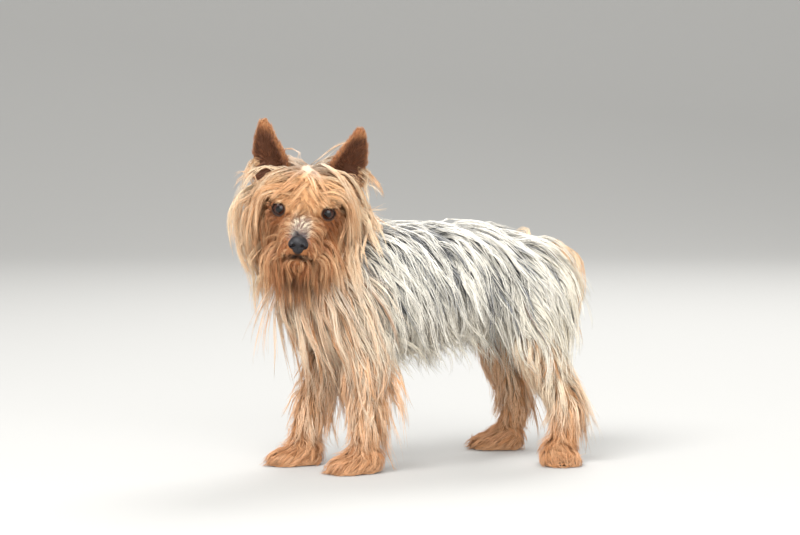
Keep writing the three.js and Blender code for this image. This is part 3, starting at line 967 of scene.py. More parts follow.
class Tree:
    """A new material with its nodes, an output and a shader."""

    def __init__(self, finish: "Finish") -> None:
        """Makes the material with the constants of its finish.

        Args:
            finish: The name and the constants.
        """
        self.material = bpy.data.materials.new(finish.name)
        self.material.use_nodes = True
        self.nodes = self.material.node_tree.nodes
        self.links = self.material.node_tree.links
        self.shader = self.nodes["Principled BSDF"]
        constants = {
            "Roughness": finish.roughness,
            "Specular IOR Level": finish.specular,
            "Coat Weight": finish.coat,
            "Coat Roughness": finish.coat_roughness,
            "Base Color": (*finish.colour, 1.0),
        }
        for name, value in constants.items():
            self.shader.inputs[name].default_value = value

    def node(self, kind: str, settings: dict[str, object], sockets: dict, out: int | str = 0) -> Value:
        """Adds a node.

        Args:
            kind: The node's type.
            settings: Its properties.
            sockets: Its inputs, each a number, a colour or a value.
            out: The output that is returned.

        Returns:
            The chosen output as a value.
        """
        made = self.nodes.new(kind)
        for name, value in settings.items():
            setattr(made, name, value)
        for name, value in sockets.items():
            if isinstance(value, Value):
                self.links.new(value.socket, made.inputs[name])
            else:
                made.inputs[name].default_value = value
        return Value(self, made.outputs[out])

    def feed(self, name: str, value: Value) -> None:
        """Links a value to the shader."""
        self.links.new(value.socket, self.shader.inputs[name])

    def place(self) -> Value:
        """The object's own coordinates."""
        return self.node("ShaderNodeTexCoord", {}, {}, "Object")

    def noise(self, scale: float, detail: float) -> Value:
        """Noise over the object's own coordinates."""
        sockets = {"Vector": self.place(), "Scale": scale, "Detail": detail}
        return self.node("ShaderNodeTexNoise", {}, sockets)

    def cells(self, scale: float) -> Value:
        """How far each place is from the middle of its cell, over the object's own coordinates."""
        return self.node("ShaderNodeTexVoronoi", {}, {"Vector": self.place(), "Scale": scale})

    def blend(self, a: tuple[float, ...], b: tuple[float, ...], factor: Value) -> Value:
        """Colours from a to b by a factor."""
        return self.node("ShaderNodeMix", {"data_type": "RGBA"}, {0: factor, 6: a, 7: b}, 2)

    def scaled(self, colour: Value, factor: Value) -> Value:
        """A colour times a value.

        Args:
            colour: The colour.
            factor: The value.

        Returns:
            The product.
        """
        grey = self.node("ShaderNodeCombineColor", {}, {0: factor, 1: factor, 2: factor})
        settings = {"data_type": "RGBA", "blend_type": "MULTIPLY"}
        return self.node("ShaderNodeMix", settings, {0: 1.0, 6: colour, 7: grey}, 2)

    def marking(self) -> Value:
        """The colour that is painted on the mesh."""
        return self.node("ShaderNodeAttribute", {"attribute_name": MARKING}, {}, "Color")

    def bump(self, height: Value, distance: float, strength: float) -> None:
        """Feeds the shader's normal from a height."""
        sockets = {"Strength": strength, "Distance": distance, "Height": height}
        self.feed("Normal", self.node("ShaderNodeBump", {}, sockets))


@dataclass(frozen=True)
class Finish:
    """A finish of one even colour: its name, and the constants of its shader."""

    name: str
    roughness: float = 0.5
    specular: float = 0.5
    coat: float = 0.0
    colour: tuple[float, ...] = (0.5, 0.5, 0.5)
    coat_roughness: float = 0.05

    def dress(self, tree: Tree) -> None:
        """Adds what changes over the surface, which is nothing for an even colour."""

    def made(self) -> bpy.types.Material:
        """Makes the material.

        Returns:
            The material.
        """
        tree = Tree(self)
        self.dress(tree)
        return tree.material


@dataclass(frozen=True)
class CoatFinish(Finish):
    """Silky hair in the colours painted on its strands."""

    name: str = "silky hair"
    roughness: float = 0.42
    specular: float = 0.45

    def dress(self, tree: Tree) -> None:
        """Feeds the painted colours, a little lighter and darker from place to place."""
        tree.feed("Base Color", tree.scaled(tree.marking(), 0.9 + 0.2 * tree.noise(900.0, 1.0)))


@dataclass(frozen=True)
class SkinFinish(Finish):
    """Skin under the coat, in the same markings darkened as painted shade, with a fine nap."""

    name: str = "skin and undercoat"
    roughness: float = 0.7
    specular: float = 0.2

    def dress(self, tree: Tree) -> None:
        """Feeds the painted colours and the nap.

        Args:
            tree: The material's nodes.
        """
        nap = tree.noise(1400.0, 3.0)
        tree.feed("Base Color", tree.scaled(tree.marking(), 0.7 + 0.6 * nap))
        tree.bump(nap, 0.0004, 0.6)


@dataclass(frozen=True)
class NoseFinish(Finish):
    """Nose leather with a fine grain."""

    name: str = "nose leather"
    roughness: float = 0.46
    specular: float = 0.36

    def dress(self, tree: Tree) -> None:
        """Feeds the grain's two colours and its relief.

        Args:
            tree: The material's nodes.
        """
        cells = tree.cells(950.0)
        groove, pebble = (*linear(14, 13, 15), 1.0), (*linear(31, 29, 32), 1.0)
        tree.feed("Base Color", tree.blend(groove, pebble, cells.step(0.0, 0.6)))
        tree.bump(1.0 - cells, 0.0003, 0.6)


@dataclass(frozen=True)
class EyeFinish(Finish):
    """A wet dark brown eye, with its pupil round the painted axis."""

    name: str = "eye"
    roughness: float = 0.18
    specular: float = 0.25
    coat: float = 0.35

    def dress(self, tree: Tree) -> None:
        """Feeds the painted colours."""
        tree.feed("Base Color", tree.marking())


# The skin


@dataclass
class Skin:
    """One skin over the whole dog."""

    place: Place
    anatomy: Anatomy
    markings: Markings
    voxels: Voxels = Voxels(1.4, 0.7, 1.62)
    lid_place: tuple[float, float, float] = (1.2, -5.8, 0.0)
    lid_turn: float = 16.0
    lid_radius: float = 7.3
    lid_thickness: float = 2.1
    lid_height: float = 0.86
    cup_scale: float = 0.8
    cup_ahead: float = 5.2
    cup_rise: float = 3.0
    slot_radius: float = 1.3
    fringe: tuple[float, float, float] = (45.0, 1.0, 40.0)
    pick: float = 0.32
    head_shade: float = 0.78
    body_shade: float = 0.55
    piece: bpy.types.Object | None = None
    tree: BVHTree | None = None
    points: np.ndarray | None = None
    normals: np.ndarray | None = None
    zones: np.ndarray | None = None

    def lids(self) -> list[bpy.types.Object]:
        """Models a ring round each eye's open part.

        Returns:
            The two rings.
        """
        made = []
        turn = Matrix(HEAD.rotation().tolist())
        for s in SIDES:
            centre = HEAD.to_dog(eye_place(s) + np.array(self.lid_place) * np.array([s, 1.0, 1.0]))
            facing = Euler((math.pi / 2, 0, s * math.radians(self.lid_turn))).to_matrix()
            bpy.ops.object.select_all(action="DESELECT")
            bpy.ops.mesh.primitive_torus_add(
                location=Vector(self.place.metres(centre)),
                rotation=(turn @ facing).to_euler(),
                major_radius=self.lid_radius * MM,
                minor_radius=self.lid_thickness * MM,
                major_segments=32,
                minor_segments=12,
            )
            bpy.context.active_object.scale = (1.0, self.lid_height, 1.0)
            made.append(bpy.context.active_object)
        return made

    def hollows(self) -> list[Lump]:
        """The forms that hollow the ears' cups and cut the mouth's slot.

        Returns:
            Their lumps.
        """
        made = []
        for s in SIDES:
            made += self.anatomy.ear(s, self.cup_scale, self.cup_ahead, self.cup_rise)
        corner, cheek, front = (-19, -34, -32.5), (-14, -54, -34), (0, -70, -33)
        across = [corner, cheek, front] + [(-x, y, z) for x, y, z in (cheek, corner)]
        stations = tuple((*spot, self.slot_radius, self.slot_radius) for spot in across)
        slot = Limb(Zone.JAW, stations, 40, 8.0).lumps()
        return made + [lump.moved_from_head() for lump in slot]

    def model(self) -> None:
        """Models the skin: lumps joined and fused, ears hollowed, mouth cut and all smoothed."""
        flesh = from_lumps("skin", self.anatomy.lumps(), self.place)
        body = joined("skin", [flesh, *self.lids()])
        self.voxels.carve(body, from_lumps("cutter", self.hollows(), self.place, 14))
        co = points_of(body)
        co[:, 2] = np.maximum(co[:, 2], 0.0)
        move_points(body, co)
        choose(body)
        bpy.ops.object.shade_smooth()
        bpy.ops.object.mode_set(mode="EDIT")
        bpy.ops.mesh.select_all(action="SELECT")
        bpy.ops.uv.smart_project(angle_limit=math.radians(70), island_margin=0.002)
        bpy.ops.object.mode_set(mode="OBJECT")
        body.data.uv_layers[0].name = "OFBake"
        self.piece = body

    def label(self, points: np.ndarray) -> np.ndarray:
        """The zone of the lump that each place lies on.

        Args:
            points: Places in the dog's millimetres.

        Returns:
            The zones' indices.
        """
        best = np.full(len(points), np.inf)
        made = np.zeros(len(points), int)
        for lump in self.anatomy.lumps():
            away = (points - lump.centre) @ lump.axes
            reach = np.linalg.norm(away / lump.radii, axis=1)
            near = np.abs(reach - 1.0) * float(np.min(lump.radii))
            near = np.where(reach < 1.0, near * 0.5, near)
            closer = near < best
            best[closer] = near[closer]
            made[closer] = ZONES.index(lump.zone)
        q = HEAD.to_head(points)
        side, back, top = self.fringe
        outer = (np.abs(q[:, 0]) > side) & (q[:, 1] > back) & (q[:, 2] < top)
        made[(made == ZONES.index(Zone.EAR)) & outer] = ZONES.index(Zone.FRINGE)
        return made

    def dress(self) -> None:
        """Paints the markings, darkened as painted shade between the strands, finishes the skin and keeps
        its shape for the coat.
        """
        mesh = self.piece.data
        self.points = self.place.dog(points_of(self.piece))
        self.normals = normals_of(self.piece)
        self.zones = self.label(self.points)
        pick = np.full(len(self.points), self.pick)
        golden = [ZONES.index(z) for z in (Zone.CROWN, Zone.FACE, Zone.MUZZLE, Zone.MANE)]
        # Painted shade: the skin's colours are darker than the coat's, less on the head than elsewhere, so
        # the gaps between the strands read as shade.
        shade = np.where(np.isin(self.zones, golden), self.head_shade, self.body_shade)
        colours = self.markings.colours(self.zones, Spots(self.points, self.normals), pick)
        paint(mesh, colours * shade[:, None])
        mesh.materials.clear()
        mesh.materials.append(SkinFinish().made())
        made = bmesh.new()
        made.from_mesh(mesh)
        bmesh.ops.triangulate(made, faces=made.faces[:])
        made.to_mesh(mesh)
        made.free()
        corners = [Vector(p) for p in self.points]
        faces = [tuple(f.vertices) for f in mesh.polygons]
        self.tree = BVHTree.FromPolygons(corners, faces, all_triangles=True)

    def build(self) -> list[bpy.types.Object]:
        """Models the skin and dresses it.

        Returns:
            The skin.
        """
        self.model()
        self.dress()
        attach(self.piece, "root")
        fleshy = [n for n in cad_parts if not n.startswith(("eye_", "nose"))]
        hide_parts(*fleshy)
        return [self.piece]


# The coat


@dataclass(frozen=True)
class HairZone:
    """How the coat grows in one zone, in millimetres.

    The density is in roots for each square centimetre. A lock leaves the skin over the rise, a share of
    its length, and then lies from the first to the second height of high, by its layer, and its tip by
    those of tip. Locks settle where they are past the hold over that. A family is the strands of a lock.
    """

    zone: Zone
    density: float
    length: tuple[float, float]
    width: float
    high: tuple[float, float]
    tip: tuple[float, float]
    gravity: float
    clump: float
    family: int
    rings: int
    curl: float
    wave: float
    rise: float = 0.3
    stray: float = 0.05
    hold: float = 5.0
    climb: float = 0.6
    on_skull: bool = False


COAT = (
    HairZone(
        Zone.TORSO, density=16.5, length=(44, 96), width=0.84, high=(2, 10), tip=(1, 13),
        gravity=0.15, clump=0.76, family=7, rings=7, curl=1.5, wave=4.2, stray=0.07,
    ),
    HairZone(
        Zone.NECK, density=22, length=(44, 74), width=0.76, high=(2, 10), tip=(2, 12),
        gravity=0.28, clump=0.72, family=10, rings=7, curl=1.2, wave=2.4,
    ),
    HairZone(
        Zone.CROWN, density=58, length=(62, 92), width=0.54, high=(2, 14), tip=(3, 22),
        gravity=0.3, clump=0.55, family=9, rings=7, curl=0.6, wave=0.5, rise=0.25, climb=0.12, on_skull=True,
    ),
    HairZone(
        Zone.MANE, density=46, length=(40, 80), width=0.62, high=(3, 24), tip=(4, 32),
        gravity=0.3, clump=0.58, family=9, rings=7, curl=0.9, wave=1.0, stray=0.06, climb=0.0,
    ),
    HairZone(
        Zone.FACE, density=84, length=(12, 26), width=0.44, high=(0.8, 4.5), tip=(0.8, 6),
        gravity=0.35, clump=0.5, family=8, rings=6, curl=0.5, wave=0.3, climb=0.12, on_skull=True,
    ),
    HairZone(
        Zone.MUZZLE, density=84, length=(8, 34), width=0.44, high=(0.8, 3), tip=(0.8, 4),
        gravity=0.4, clump=0.55, family=8, rings=6, curl=0.5, wave=0.6, stray=0.0,
    ),
    HairZone(
        Zone.JAW, density=66, length=(20, 44), width=0.54, high=(1, 4), tip=(0.8, 5),
        gravity=0.45, clump=0.65, family=10, rings=6, curl=0.8, wave=0.8,
    ),
    HairZone(
        Zone.EAR, density=72, length=(5, 9), width=0.4, high=(0.6, 1.8), tip=(0.6, 2.6),
        gravity=0.03, clump=0.35, family=6, rings=5, curl=0.3, wave=0.0, rise=0.5, stray=0.0,
    ),
    HairZone(
        Zone.FRINGE, density=52, length=(20, 38), width=0.48, high=(1, 6), tip=(3, 16),
        gravity=0.18, clump=0.5, family=7, rings=6, curl=1.0, wave=1.0, stray=0.06, hold=16, climb=0.0,
    ),
    HairZone(
        Zone.FORELEG, density=40, length=(30, 58), width=0.62, high=(2, 12), tip=(2, 17),
        gravity=0.16, clump=0.56, family=8, rings=6, curl=2.0, wave=2.6, stray=0.08, hold=18,
    ),
    HairZone(
        Zone.HINDLEG, density=38, length=(28, 52), width=0.62, high=(2, 10), tip=(2, 15),
        gravity=0.17, clump=0.58, family=8, rings=6, curl=1.8, wave=2.4, stray=0.08, hold=24,
    ),
    HairZone(
        Zone.PAW, density=52, length=(14, 31), width=0.48, high=(0.8, 3.4), tip=(0.6, 3.4),
        gravity=0.1, clump=0.5, family=8, rings=5, curl=0.8, wave=0.8, hold=13,
    ),
    HairZone(
        Zone.TAIL, density=44, length=(44, 76), width=0.62, high=(4, 14), tip=(4, 16),
        gravity=0.36, clump=0.6, family=10, rings=7, curl=1.0, wave=1.5,
    ),
)


def outer_side(q: np.ndarray) -> np.ndarray:
    """A column of 1 on the dog's left and on the middle plane, and -1 on its right."""
    return np.sign(q[:, :1] + 1e-6)


@dataclass
class Lie:
    """Which way the coat sets off, and how long it is, at a place on the skin."""

    rng: np.random.Generator
    anatomy: Anatomy
    spread: float = 0.09
    rump: Region = Region(y=(80, 120))
    breast: Region = Region(y=(-95, -130))
    elbow: Region = Region(y=(-112, -100, -70, -50), z=(150, 120))
    feather: Region = Region(y=(-108, -94, -70, -52), z=(150, 118))
    brow: Region = Region(y=(-8, -24), z=(4, 18))
    forelock: Region = Region(y=(20, -10))
    hub: tuple[float, float, float] = (0.0, -34.0, -4.0)
    ear_middle: tuple[float, float, float] = (38.0, 5.0, 40.0)
    belly_middle: float = 40.0
    belly_width: float = 42.0

    def body(self, at: Spots) -> np.ndarray:
        """From the parting outwards, back and down.

        Args:
            at: The roots.

        Returns:
            A way for each root.
        """
        part = at.p[:, :1] + self.rng.normal(0.0, 3.0, (len(at.p), 1))
        top = np.clip(at.n[:, 2:3], 0.0, 1.0)
        trunk = (1.0 - 0.7 * self.rump.column(at.p)) * (1.0 - self.breast.column(at.p))
        rear = (0.6 + 0.9 * top) * trunk + 2.6 * self.elbow.column(at.p)
        outward = 0.25 + 0.75 * top * smooth(0.0, 14.0, np.abs(part))
        return rear * BACK + outward * np.sign(part) * LEFT - UP

    def neck(self, at: Spots) -> np.ndarray:
        """Down and back over the shoulders."""
        return 0.35 * BACK - UP + 0.4 * at.n

    def head(self, at: Spots) -> np.ndarray:
        """From the crown's parting outwards and down round the face.

        Args:
            at: The roots.

        Returns:
            A way for each root.
        """
        part = at.q[:, :1] + self.rng.normal(0.0, 2.5, (len(at.p), 1))
        outward = np.sign(part) * LEFT
        top = np.clip(at.m[:, 2:3], 0.0, 1.0)
        brow = self.brow.column(at.q)
        way = outward * (0.35 + 0.9 * top + 0.7 * brow) - UP * (1.0 - 0.9 * top - 0.6 * brow)
        ahead = smooth(7.0, 0.0, np.abs(part)) * self.forelock.column(at.q)
        way = way * (1.0 - 0.8 * ahead) + ahead * (-0.9 * BACK - UP + outward * 0.55)
        return HEAD.way_to_dog(way + brow * (1.0 - ahead) * (0.1 * UP - 0.15 * BACK))

    def face(self, at: Spots) -> np.ndarray:
        """Away from the bridge between the eyes, and down over the cheeks.

        Args:
            at: The roots.

        Returns:
            A way for each root.
        """
        away = unit(at.q - np.array(self.hub))
        down = smooth(4.0, -18.0, at.q[:, 2:3])
        cheek = outer_side(at.q) * 0.35 * LEFT + 0.25 * BACK - UP
        return HEAD.way_to_dog(away * (1.0 - down) + down * cheek)

    def muzzle(self, at: Spots) -> np.ndarray:
        """Up the bridge towards the eyes, and down the sides as the moustache.

        Args:
            at: The roots.

        Returns:
            A way for each root.
        """
        top = smooth(0.35, 0.85, at.m[:, 2:3])
        bridge = BACK + 0.3 * UP + at.q[:, :1] / 12.0 * 0.5 * LEFT
        front = smooth(-40.0, -56.0, at.q[:, 1:2])
        beard = outer_side(at.q) * 0.55 * LEFT * (1.0 + 1.6 * front) + 0.2 * BACK - UP
        return HEAD.way_to_dog(top * bridge + (1.0 - top) * beard)

    def jaw(self, at: Spots) -> np.ndarray:
        """Down and a little outwards, as the beard."""
        return HEAD.way_to_dog(outer_side(at.q) * 0.25 * LEFT - 0.05 * BACK - UP)

    def ear(self, at: Spots) -> np.ndarray:
        """Towards the tip and out past the rim.

        Args:
            at: The roots.

        Returns:
            A way for each root.
        """
        side = outer_side(at.q)
        x, y, z = self.ear_middle
        low = smooth(44.0, 26.0, at.q[:, 2:3])
        high = 0.6 * unit(at.q - (side * x * LEFT + y * BACK + z * UP)) + 0.7 * UP
        return HEAD.way_to_dog(high * (1.0 - low) + low * (side * 0.8 * LEFT - 0.7 * UP))

    def fringe(self, at: Spots) -> np.ndarray:
        """Outwards and down from the foot of the ear."""
        way = np.sign(at.q[:, :1]) * LEFT + 0.15 * BACK - 0.45 * UP
        return HEAD.way_to_dog(way) + 0.3 * at.n

    def leg(self, at: Spots) -> np.ndarray:
        """Down, with the rear edge swept back.

        Args:
            at: The roots.

        Returns:
            A way for each root.
        """
        rear = np.clip(at.n[:, 1:2], 0.0, 1.0)
        high = smooth(50.0, 95.0, at.p[:, 2:3])
        low = smooth(45.0, 20.0, at.p[:, 2:3])
        return -UP + (0.3 + 0.25 * low) * at.n + (0.5 + 2.2 * high) * rear * BACK

    def paw(self, at: Spots) -> np.ndarray:
        """Forwards and down over the toes of the nearest paw.

        Args:
            at: The roots.

        Returns:
            A way for each root.
        """
        frames = self.anatomy.paw_frames()
        nearest = np.argmin([np.linalg.norm(at.p[:, :2] - spot, axis=1) for spot, _ in frames], axis=0)
        turns = np.radians(np.array([turn for _, turn in frames]))[nearest]
        ahead = np.stack([np.sin(turns), -np.cos(turns), 0.0 * turns], axis=1)
        return ahead - 0.45 * UP + 0.55 * at.n * (LEFT + BACK)

    def tail(self, at: Spots) -> np.ndarray:
        """Straight down."""
        return -UP + 0.1 * at.n

    def ways(self, zone: Zone, at: Spots) -> np.ndarray:
        """Unit directions along the skin for roots in a zone.

        Args:
            zone: The zone.
            at: The roots.

        Returns:
            A direction for each root.
        """
        rules = {Zone.TORSO: self.body, Zone.CROWN: self.head, Zone.MANE: self.head}
        rules |= {Zone.FORELEG: self.leg, Zone.HINDLEG: self.leg}
        rule = rules.get(zone) or getattr(self, zone.value)
        way = unit(tangent(rule(at), at.n))
        return unit(way + self.rng.normal(0.0, self.spread, way.shape))

    def lengths(self, kind: HairZone, at: Spots) -> np.ndarray:
        """The coat's length at each root.

        Args:
            kind: How the coat grows here.
            at: The roots.

        Returns:
            The lengths in millimetres.
        """
        made = self.rng.uniform(*kind.length, len(at.p))
        side, y, z = np.abs(at.q[:, 0]), at.q[:, 1], at.q[:, 2]
        if kind.zone is Zone.MUZZLE:
            rear = smooth(-63.0, -40.0, y)
            lower = smooth(-9.0, -22.0, z)
            made = 4.5 + (2.0 + 60.0 * rear) * lower * self.uneven(0.75, at) + 3.0 * rear
        elif kind.zone is Zone.JAW:
            made = (18.0 + 46.0 * smooth(5.0, 12.0, side)) * self.uneven(0.8, at)
        elif kind.zone is Zone.FACE:
            made = 7.0 + 60.0 * smooth(0.0, -16.0, z) + 12.0 * smooth(8.0, 20.0, z)
            made *= self.uneven(0.75, at)
        elif kind.zone is Zone.CROWN:
            made *= 1.0 - 0.5 * smooth(-12.0, -26.0, y) * smooth(30.0, 12.0, z)
            made *= 1.0 - 0.55 * smooth(9.0, 2.0, side) * smooth(10.0, -14.0, y)
        elif kind.zone is Zone.MANE:
            made *= 1.0 - 0.35 * smooth(18.0, 34.0, y)
        elif kind.zone is Zone.EAR:
            made *= 1.0 + 1.0 * smooth(46.0, 26.0, z)
        elif kind.zone in (Zone.FORELEG, Zone.HINDLEG):
            height = at.p[:, 2]
            rear = np.clip(at.n[:, 1], 0.0, 1.0) * smooth(40.0, 90.0, height)
            made *= (0.85 + 0.95 * rear) * (0.62 + 0.48 * smooth(20.0, 85.0, height))
        elif kind.zone is Zone.TORSO:
            low = smooth(165.0, 120.0, at.p[:, 2])
            belly = hump(at.p[:, 1], self.belly_middle, self.belly_width)
            breast = 1.0 + 0.18 * smooth(-85.0, -110.0, at.p[:, 1])
            made *= (1.0 - low * (0.12 + 0.38 * belly)) * breast
            made *= 1.0 + 0.25 * self.feather.share(at.p)
        return made

    def uneven(self, least: float, at: Spots) -> np.ndarray:
        """A random factor for each root, from the least to 1.15."""
        return self.rng.uniform(least, 1.15, len(at.p))


@dataclass(frozen=True)
class Rows:
    """Arrays that each have a row for every root, guide or strand."""

    def take(self, rows: np.ndarray) -> "Rows":
        """The same arrays with only some of the rows."""
        return replace(self, **{f.name: getattr(self, f.name)[rows] for f in fields(self)})


@dataclass(frozen=True)
class Roots(Rows):
    """Where strands grow: the places, the skin's normals there, and the places on its unwrap."""

    point: np.ndarray
    normal: np.ndarray
    unwrap: np.ndarray


@dataclass(frozen=True)
class Guides(Rows):
    """The paths of the locks, the skin's facing along them, their layers, shades and roots."""

    path: np.ndarray
    facing: np.ndarray
    layer: np.ndarray
    shade: np.ndarray
    root: np.ndarray


@dataclass(frozen=True)
class Lay(Rows):
    """How strands lie by their guides: which guide, how far off at root and tip, and what share of it."""

    guide: np.ndarray
    offset: np.ndarray
    reach: np.ndarray


@dataclass(frozen=True)
class Strands(Rows):
    """Strands that are ready to build: their lines, sideways ways, widths, colours and unwrap places."""

    line: np.ndarray
    across: np.ndarray
    width: np.ndarray
    colour: np.ndarray
    unwrap: np.ndarray


@dataclass
class Coat:
    """Strands over the skin, in locks that share a guide."""

    skin: Skin
    markings: Markings
    limit: int = 190_000
    half_width: float = 86.5
    seed: int = 11
    steps: int = 7
    depth: float = 1.2
    sole: float = 3.0
    floor_gap: float = 0.8
    bare_nose: tuple[float, float, float] = (0.0, -1.0, -1.5)
    bare_radii: tuple[float, float, float] = (9.0, 9.0, 9.5)
    by_ear: Region = Region(y=(-12, -4), z=(18, 26), side=(16, 24))
    by_parting: Region = Region(y=(14, -6), side=(9, 4))
    top_knot: Region = Region(y=(-10, 4), z=(28, 36), side=(22, 12))
    window: ByEye = ByEye((0.5, 0.0, -0.6), (6.8, math.inf, 5.8))
    long_window: ByEye = ByEye((3.5, 0.0, -3.0), (14.0, math.inf, 10.0))
    window_depth: float = 14.0
    faces: np.ndarray | None = None
    unwrap: np.ndarray | None = None

    def roots(self, kind: HairZone, rng: np.random.Generator) -> Roots:
        """Roots spread evenly over a zone's skin.

        Args:
            kind: How the coat grows here.
            rng: The zone's random draws.

        Returns:
            The roots.
        """
        tri = self.faces
        zone = ZONES.index(kind.zone)
        here = np.nonzero(np.sum(self.skin.zones[tri] == zone, axis=1) >= 2)[0]
        corner = self.skin.points[tri[here]]
        sides = corner[:, 1] - corner[:, 0], corner[:, 2] - corner[:, 0]
        area = np.linalg.norm(np.cross(*sides), axis=1) / 2
        if kind.zone is Zone.PAW:
            area = area * (corner[:, :, 2].mean(axis=1) > self.sole)
        elif kind.zone is Zone.MUZZLE:
            away = HEAD.to_head(corner.mean(axis=1)) - NOSE_PLACE - np.array(self.bare_nose)
            area = area * (np.linalg.norm(away / np.array(self.bare_radii), axis=1) > 1.0)
        count = max(int(area.sum() / 100.0 * kind.density), 1)
        chosen = rng.choice(len(here), count, p=area / area.sum())
        u, v = rng.random((2, count))
        flip = u + v > 1.0
        u, v = np.where(flip, 1 - u, u), np.where(flip, 1 - v, v)
        weights = np.stack([1 - u - v, u, v], axis=1)[:, :, None]
        faces = here[chosen]
        point = np.sum(corner[chosen] * weights, axis=1)
        normal = unit(np.sum(self.skin.normals[tri[faces]] * weights, axis=1))
        return Roots(point, normal, np.sum(self.unwrap[faces] * weights, axis=1))

    def flattened(self, kind: HairZone, at: Spots, layer: np.ndarray) -> np.ndarray:
        """Lowers the layers by the ears and the parting, and towards the paws.

        Args:
            kind: How the coat grows here.
            at: The guides' roots.
            layer: The layers, from 0 by the skin to 1.

        Returns:
            The new layers.
        """
        if kind.zone is Zone.CROWN:
            layer = layer * (1.0 - 0.85 * self.by_ear.share(at.q))
            return layer * (1.0 - 0.75 * self.by_parting.share(at.q))
        if kind.zone in (Zone.FORELEG, Zone.HINDLEG):
            return layer * (0.3 + 0.7 * smooth(18.0, 75.0, at.p[:, 2]))
        return layer

    def lifts(self, kind: HairZone, at: Spots) -> np.ndarray:
        """How much higher than usual the coat lies.

        Args:
            kind: How the coat grows here.
            at: The guides' roots.

        Returns:
            The lift of each, in millimetres.
        """
        if kind.zone is Zone.CROWN:
            return 3.5 * self.top_knot.share(at.q)
        if kind.zone is Zone.MANE:
            return 6.0 * smooth(-20.0, -38.0, at.q[:, 0])
        return np.zeros(len(at.p))

    def fall(self, kind: HairZone, at: Vector, turned: np.ndarray) -> float:
        """How far gravity turns a lock in one step, which is less on top of the skull.

        Args:
            kind: How the coat grows here.
            at: Where the lock has come to.
            turned: The head's rotation.

        Returns:
            The share of its way that becomes downwards.
        """
        if not kind.on_skull:
            return kind.gravity
        aside, behind, _ = (np.array(at) - np.array(HEAD.centre)) @ turned
        beside, rear = smooth(14.0, 38.0, abs(aside)), smooth(4.0, 24.0, behind)
        return kind.gravity * (0.15 + 0.85 * float(max(beside, rear)))

    def walk(
        self, kind: HairZone, at: Vector, out: Vector, go: Vector, stride: float, high: float, tip: float
    ) -> tuple[list[Vector], list[Vector]]:
        """Walks one guide from its root over the skin.

        Args:
            kind: How the coat grows here.
            at: Where it starts, a little under the skin.
            out: The skin's normal there.
            go: The way that it sets off.
            stride: The length of a step.
            high: How high it lies.
            tip: How high its tip lies.

        Returns:
            The places along it, and the skin's facing at each.
        """
        path, facing = [at], [out]
        turned = HEAD.rotation()
        for k in range(1, self.steps + 1):
            t = k / self.steps
            need = high * min(1.0, t / kind.rise) if t < 0.6 else high + (tip - high) * (t - 0.6) / 0.4
            at = at + go * stride
            if k == 1:
                at = at + out * (self.depth + need)
            hit, normal, _, gap = self.skin.tree.find_nearest(at)
            near = gap if (at - hit).dot(normal) >= 0 else -gap
            if near < need:
                at = hit + normal * need
                out = (out * 0.4 + normal * 0.6).normalized()
            elif near > need + kind.hold and k > 1:
                at = at - normal * min(near - need - kind.hold, stride * 0.25)
            at.z = max(at.z, 1.0)
            path.append(at)
            facing.append(out)
            fall = self.fall(kind, at, turned)
            go = go * (1.0 - fall) - Vector(UP) * fall
            go.z = min(go.z, kind.climb)
            go = go.normalized()
            if near < need + 2.0:
                go = (go - normal * go.dot(normal) * 0.7).normalized()
        return path, facing

    def guides(self, kind: HairZone, root: Roots, lie: Lie) -> Guides:
        """The paths of the locks, walked over the skin from a share of the roots.

        Args:
            kind: How the coat grows here.
            root: The zone's roots.
            lie: The coat's lie, with the zone's random draws.

        Returns:
            The guides.
        """
        rng = lie.rng
        count = max(len(root.point) // kind.family, 1)
        at = Spots(root.point[:count], root.normal[:count])
        way = lie.ways(kind.zone, at)
        length = lie.lengths(kind, at)
        layer = self.flattened(kind, at, rng.random(count))
        lift = self.lifts(kind, at)
        walks = []
        for i in range(count):
            high = kind.high[0] + (kind.high[1] - kind.high[0]) * layer[i] + lift[i]
            tip = kind.tip[0] + (kind.tip[1] - kind.tip[0]) * layer[i]
            start = Vector(at.p[i] - at.n[i] * self.depth), Vector(at.n[i]), Vector(way[i])
            walks.append(self.walk(kind, *start, length[i] / self.steps, high, tip))
        path, facing = (np.array([w[j] for w in walks]) for j in range(2))
        t = np.linspace(0.0, 1.0, self.steps + 1)[None, :]
        phase = rng.uniform(0.0, 6.28, (count, 1)) + t * rng.uniform(4.0, 8.0, (count, 1))
        sway = np.sin(phase) * t * kind.wave
        if kind.zone is Zone.TORSO:
            sway = sway * (1.0 + 0.5 * smooth(185.0, 130.0, at.p[:, 2:3]))
        path = path + unit(np.cross(np.gradient(path, axis=1), facing)) * sway[:, :, None]
        return Guides(path, facing, layer, rng.random(count), at.p)

    def trimmed(self, kind: HairZone, line: np.ndarray, reach: np.ndarray) -> np.ndarray:
        """Shortens strands that would cross an open eye, or the hollow beside it where they are long.

        Args:
            kind: How the coat grows here.
            line: The strands' points in the dog's millimetres.
            reach: The share of its guide's length that each strand has.

        Returns:
            The new shares, 0 where a strand is left out.
        """
        q = HEAD.to_head(line.reshape(-1, 3)).reshape(line.shape)
        window = self.long_window if kind.zone in (Zone.CROWN, Zone.MANE, Zone.EAR) else self.window
        crossing = (window.away(q) < 1.0) & (q[:, :, 1] < EYE_AHEAD + self.window_depth)
        first = np.where(crossing.any(axis=1), crossing.argmax(axis=1), line.shape[1])
        share = np.clip((first - 1.0) / (line.shape[1] - 1.0), 0.0, 1.0)
        return np.where(share > 0.12, reach * share, 0.0)

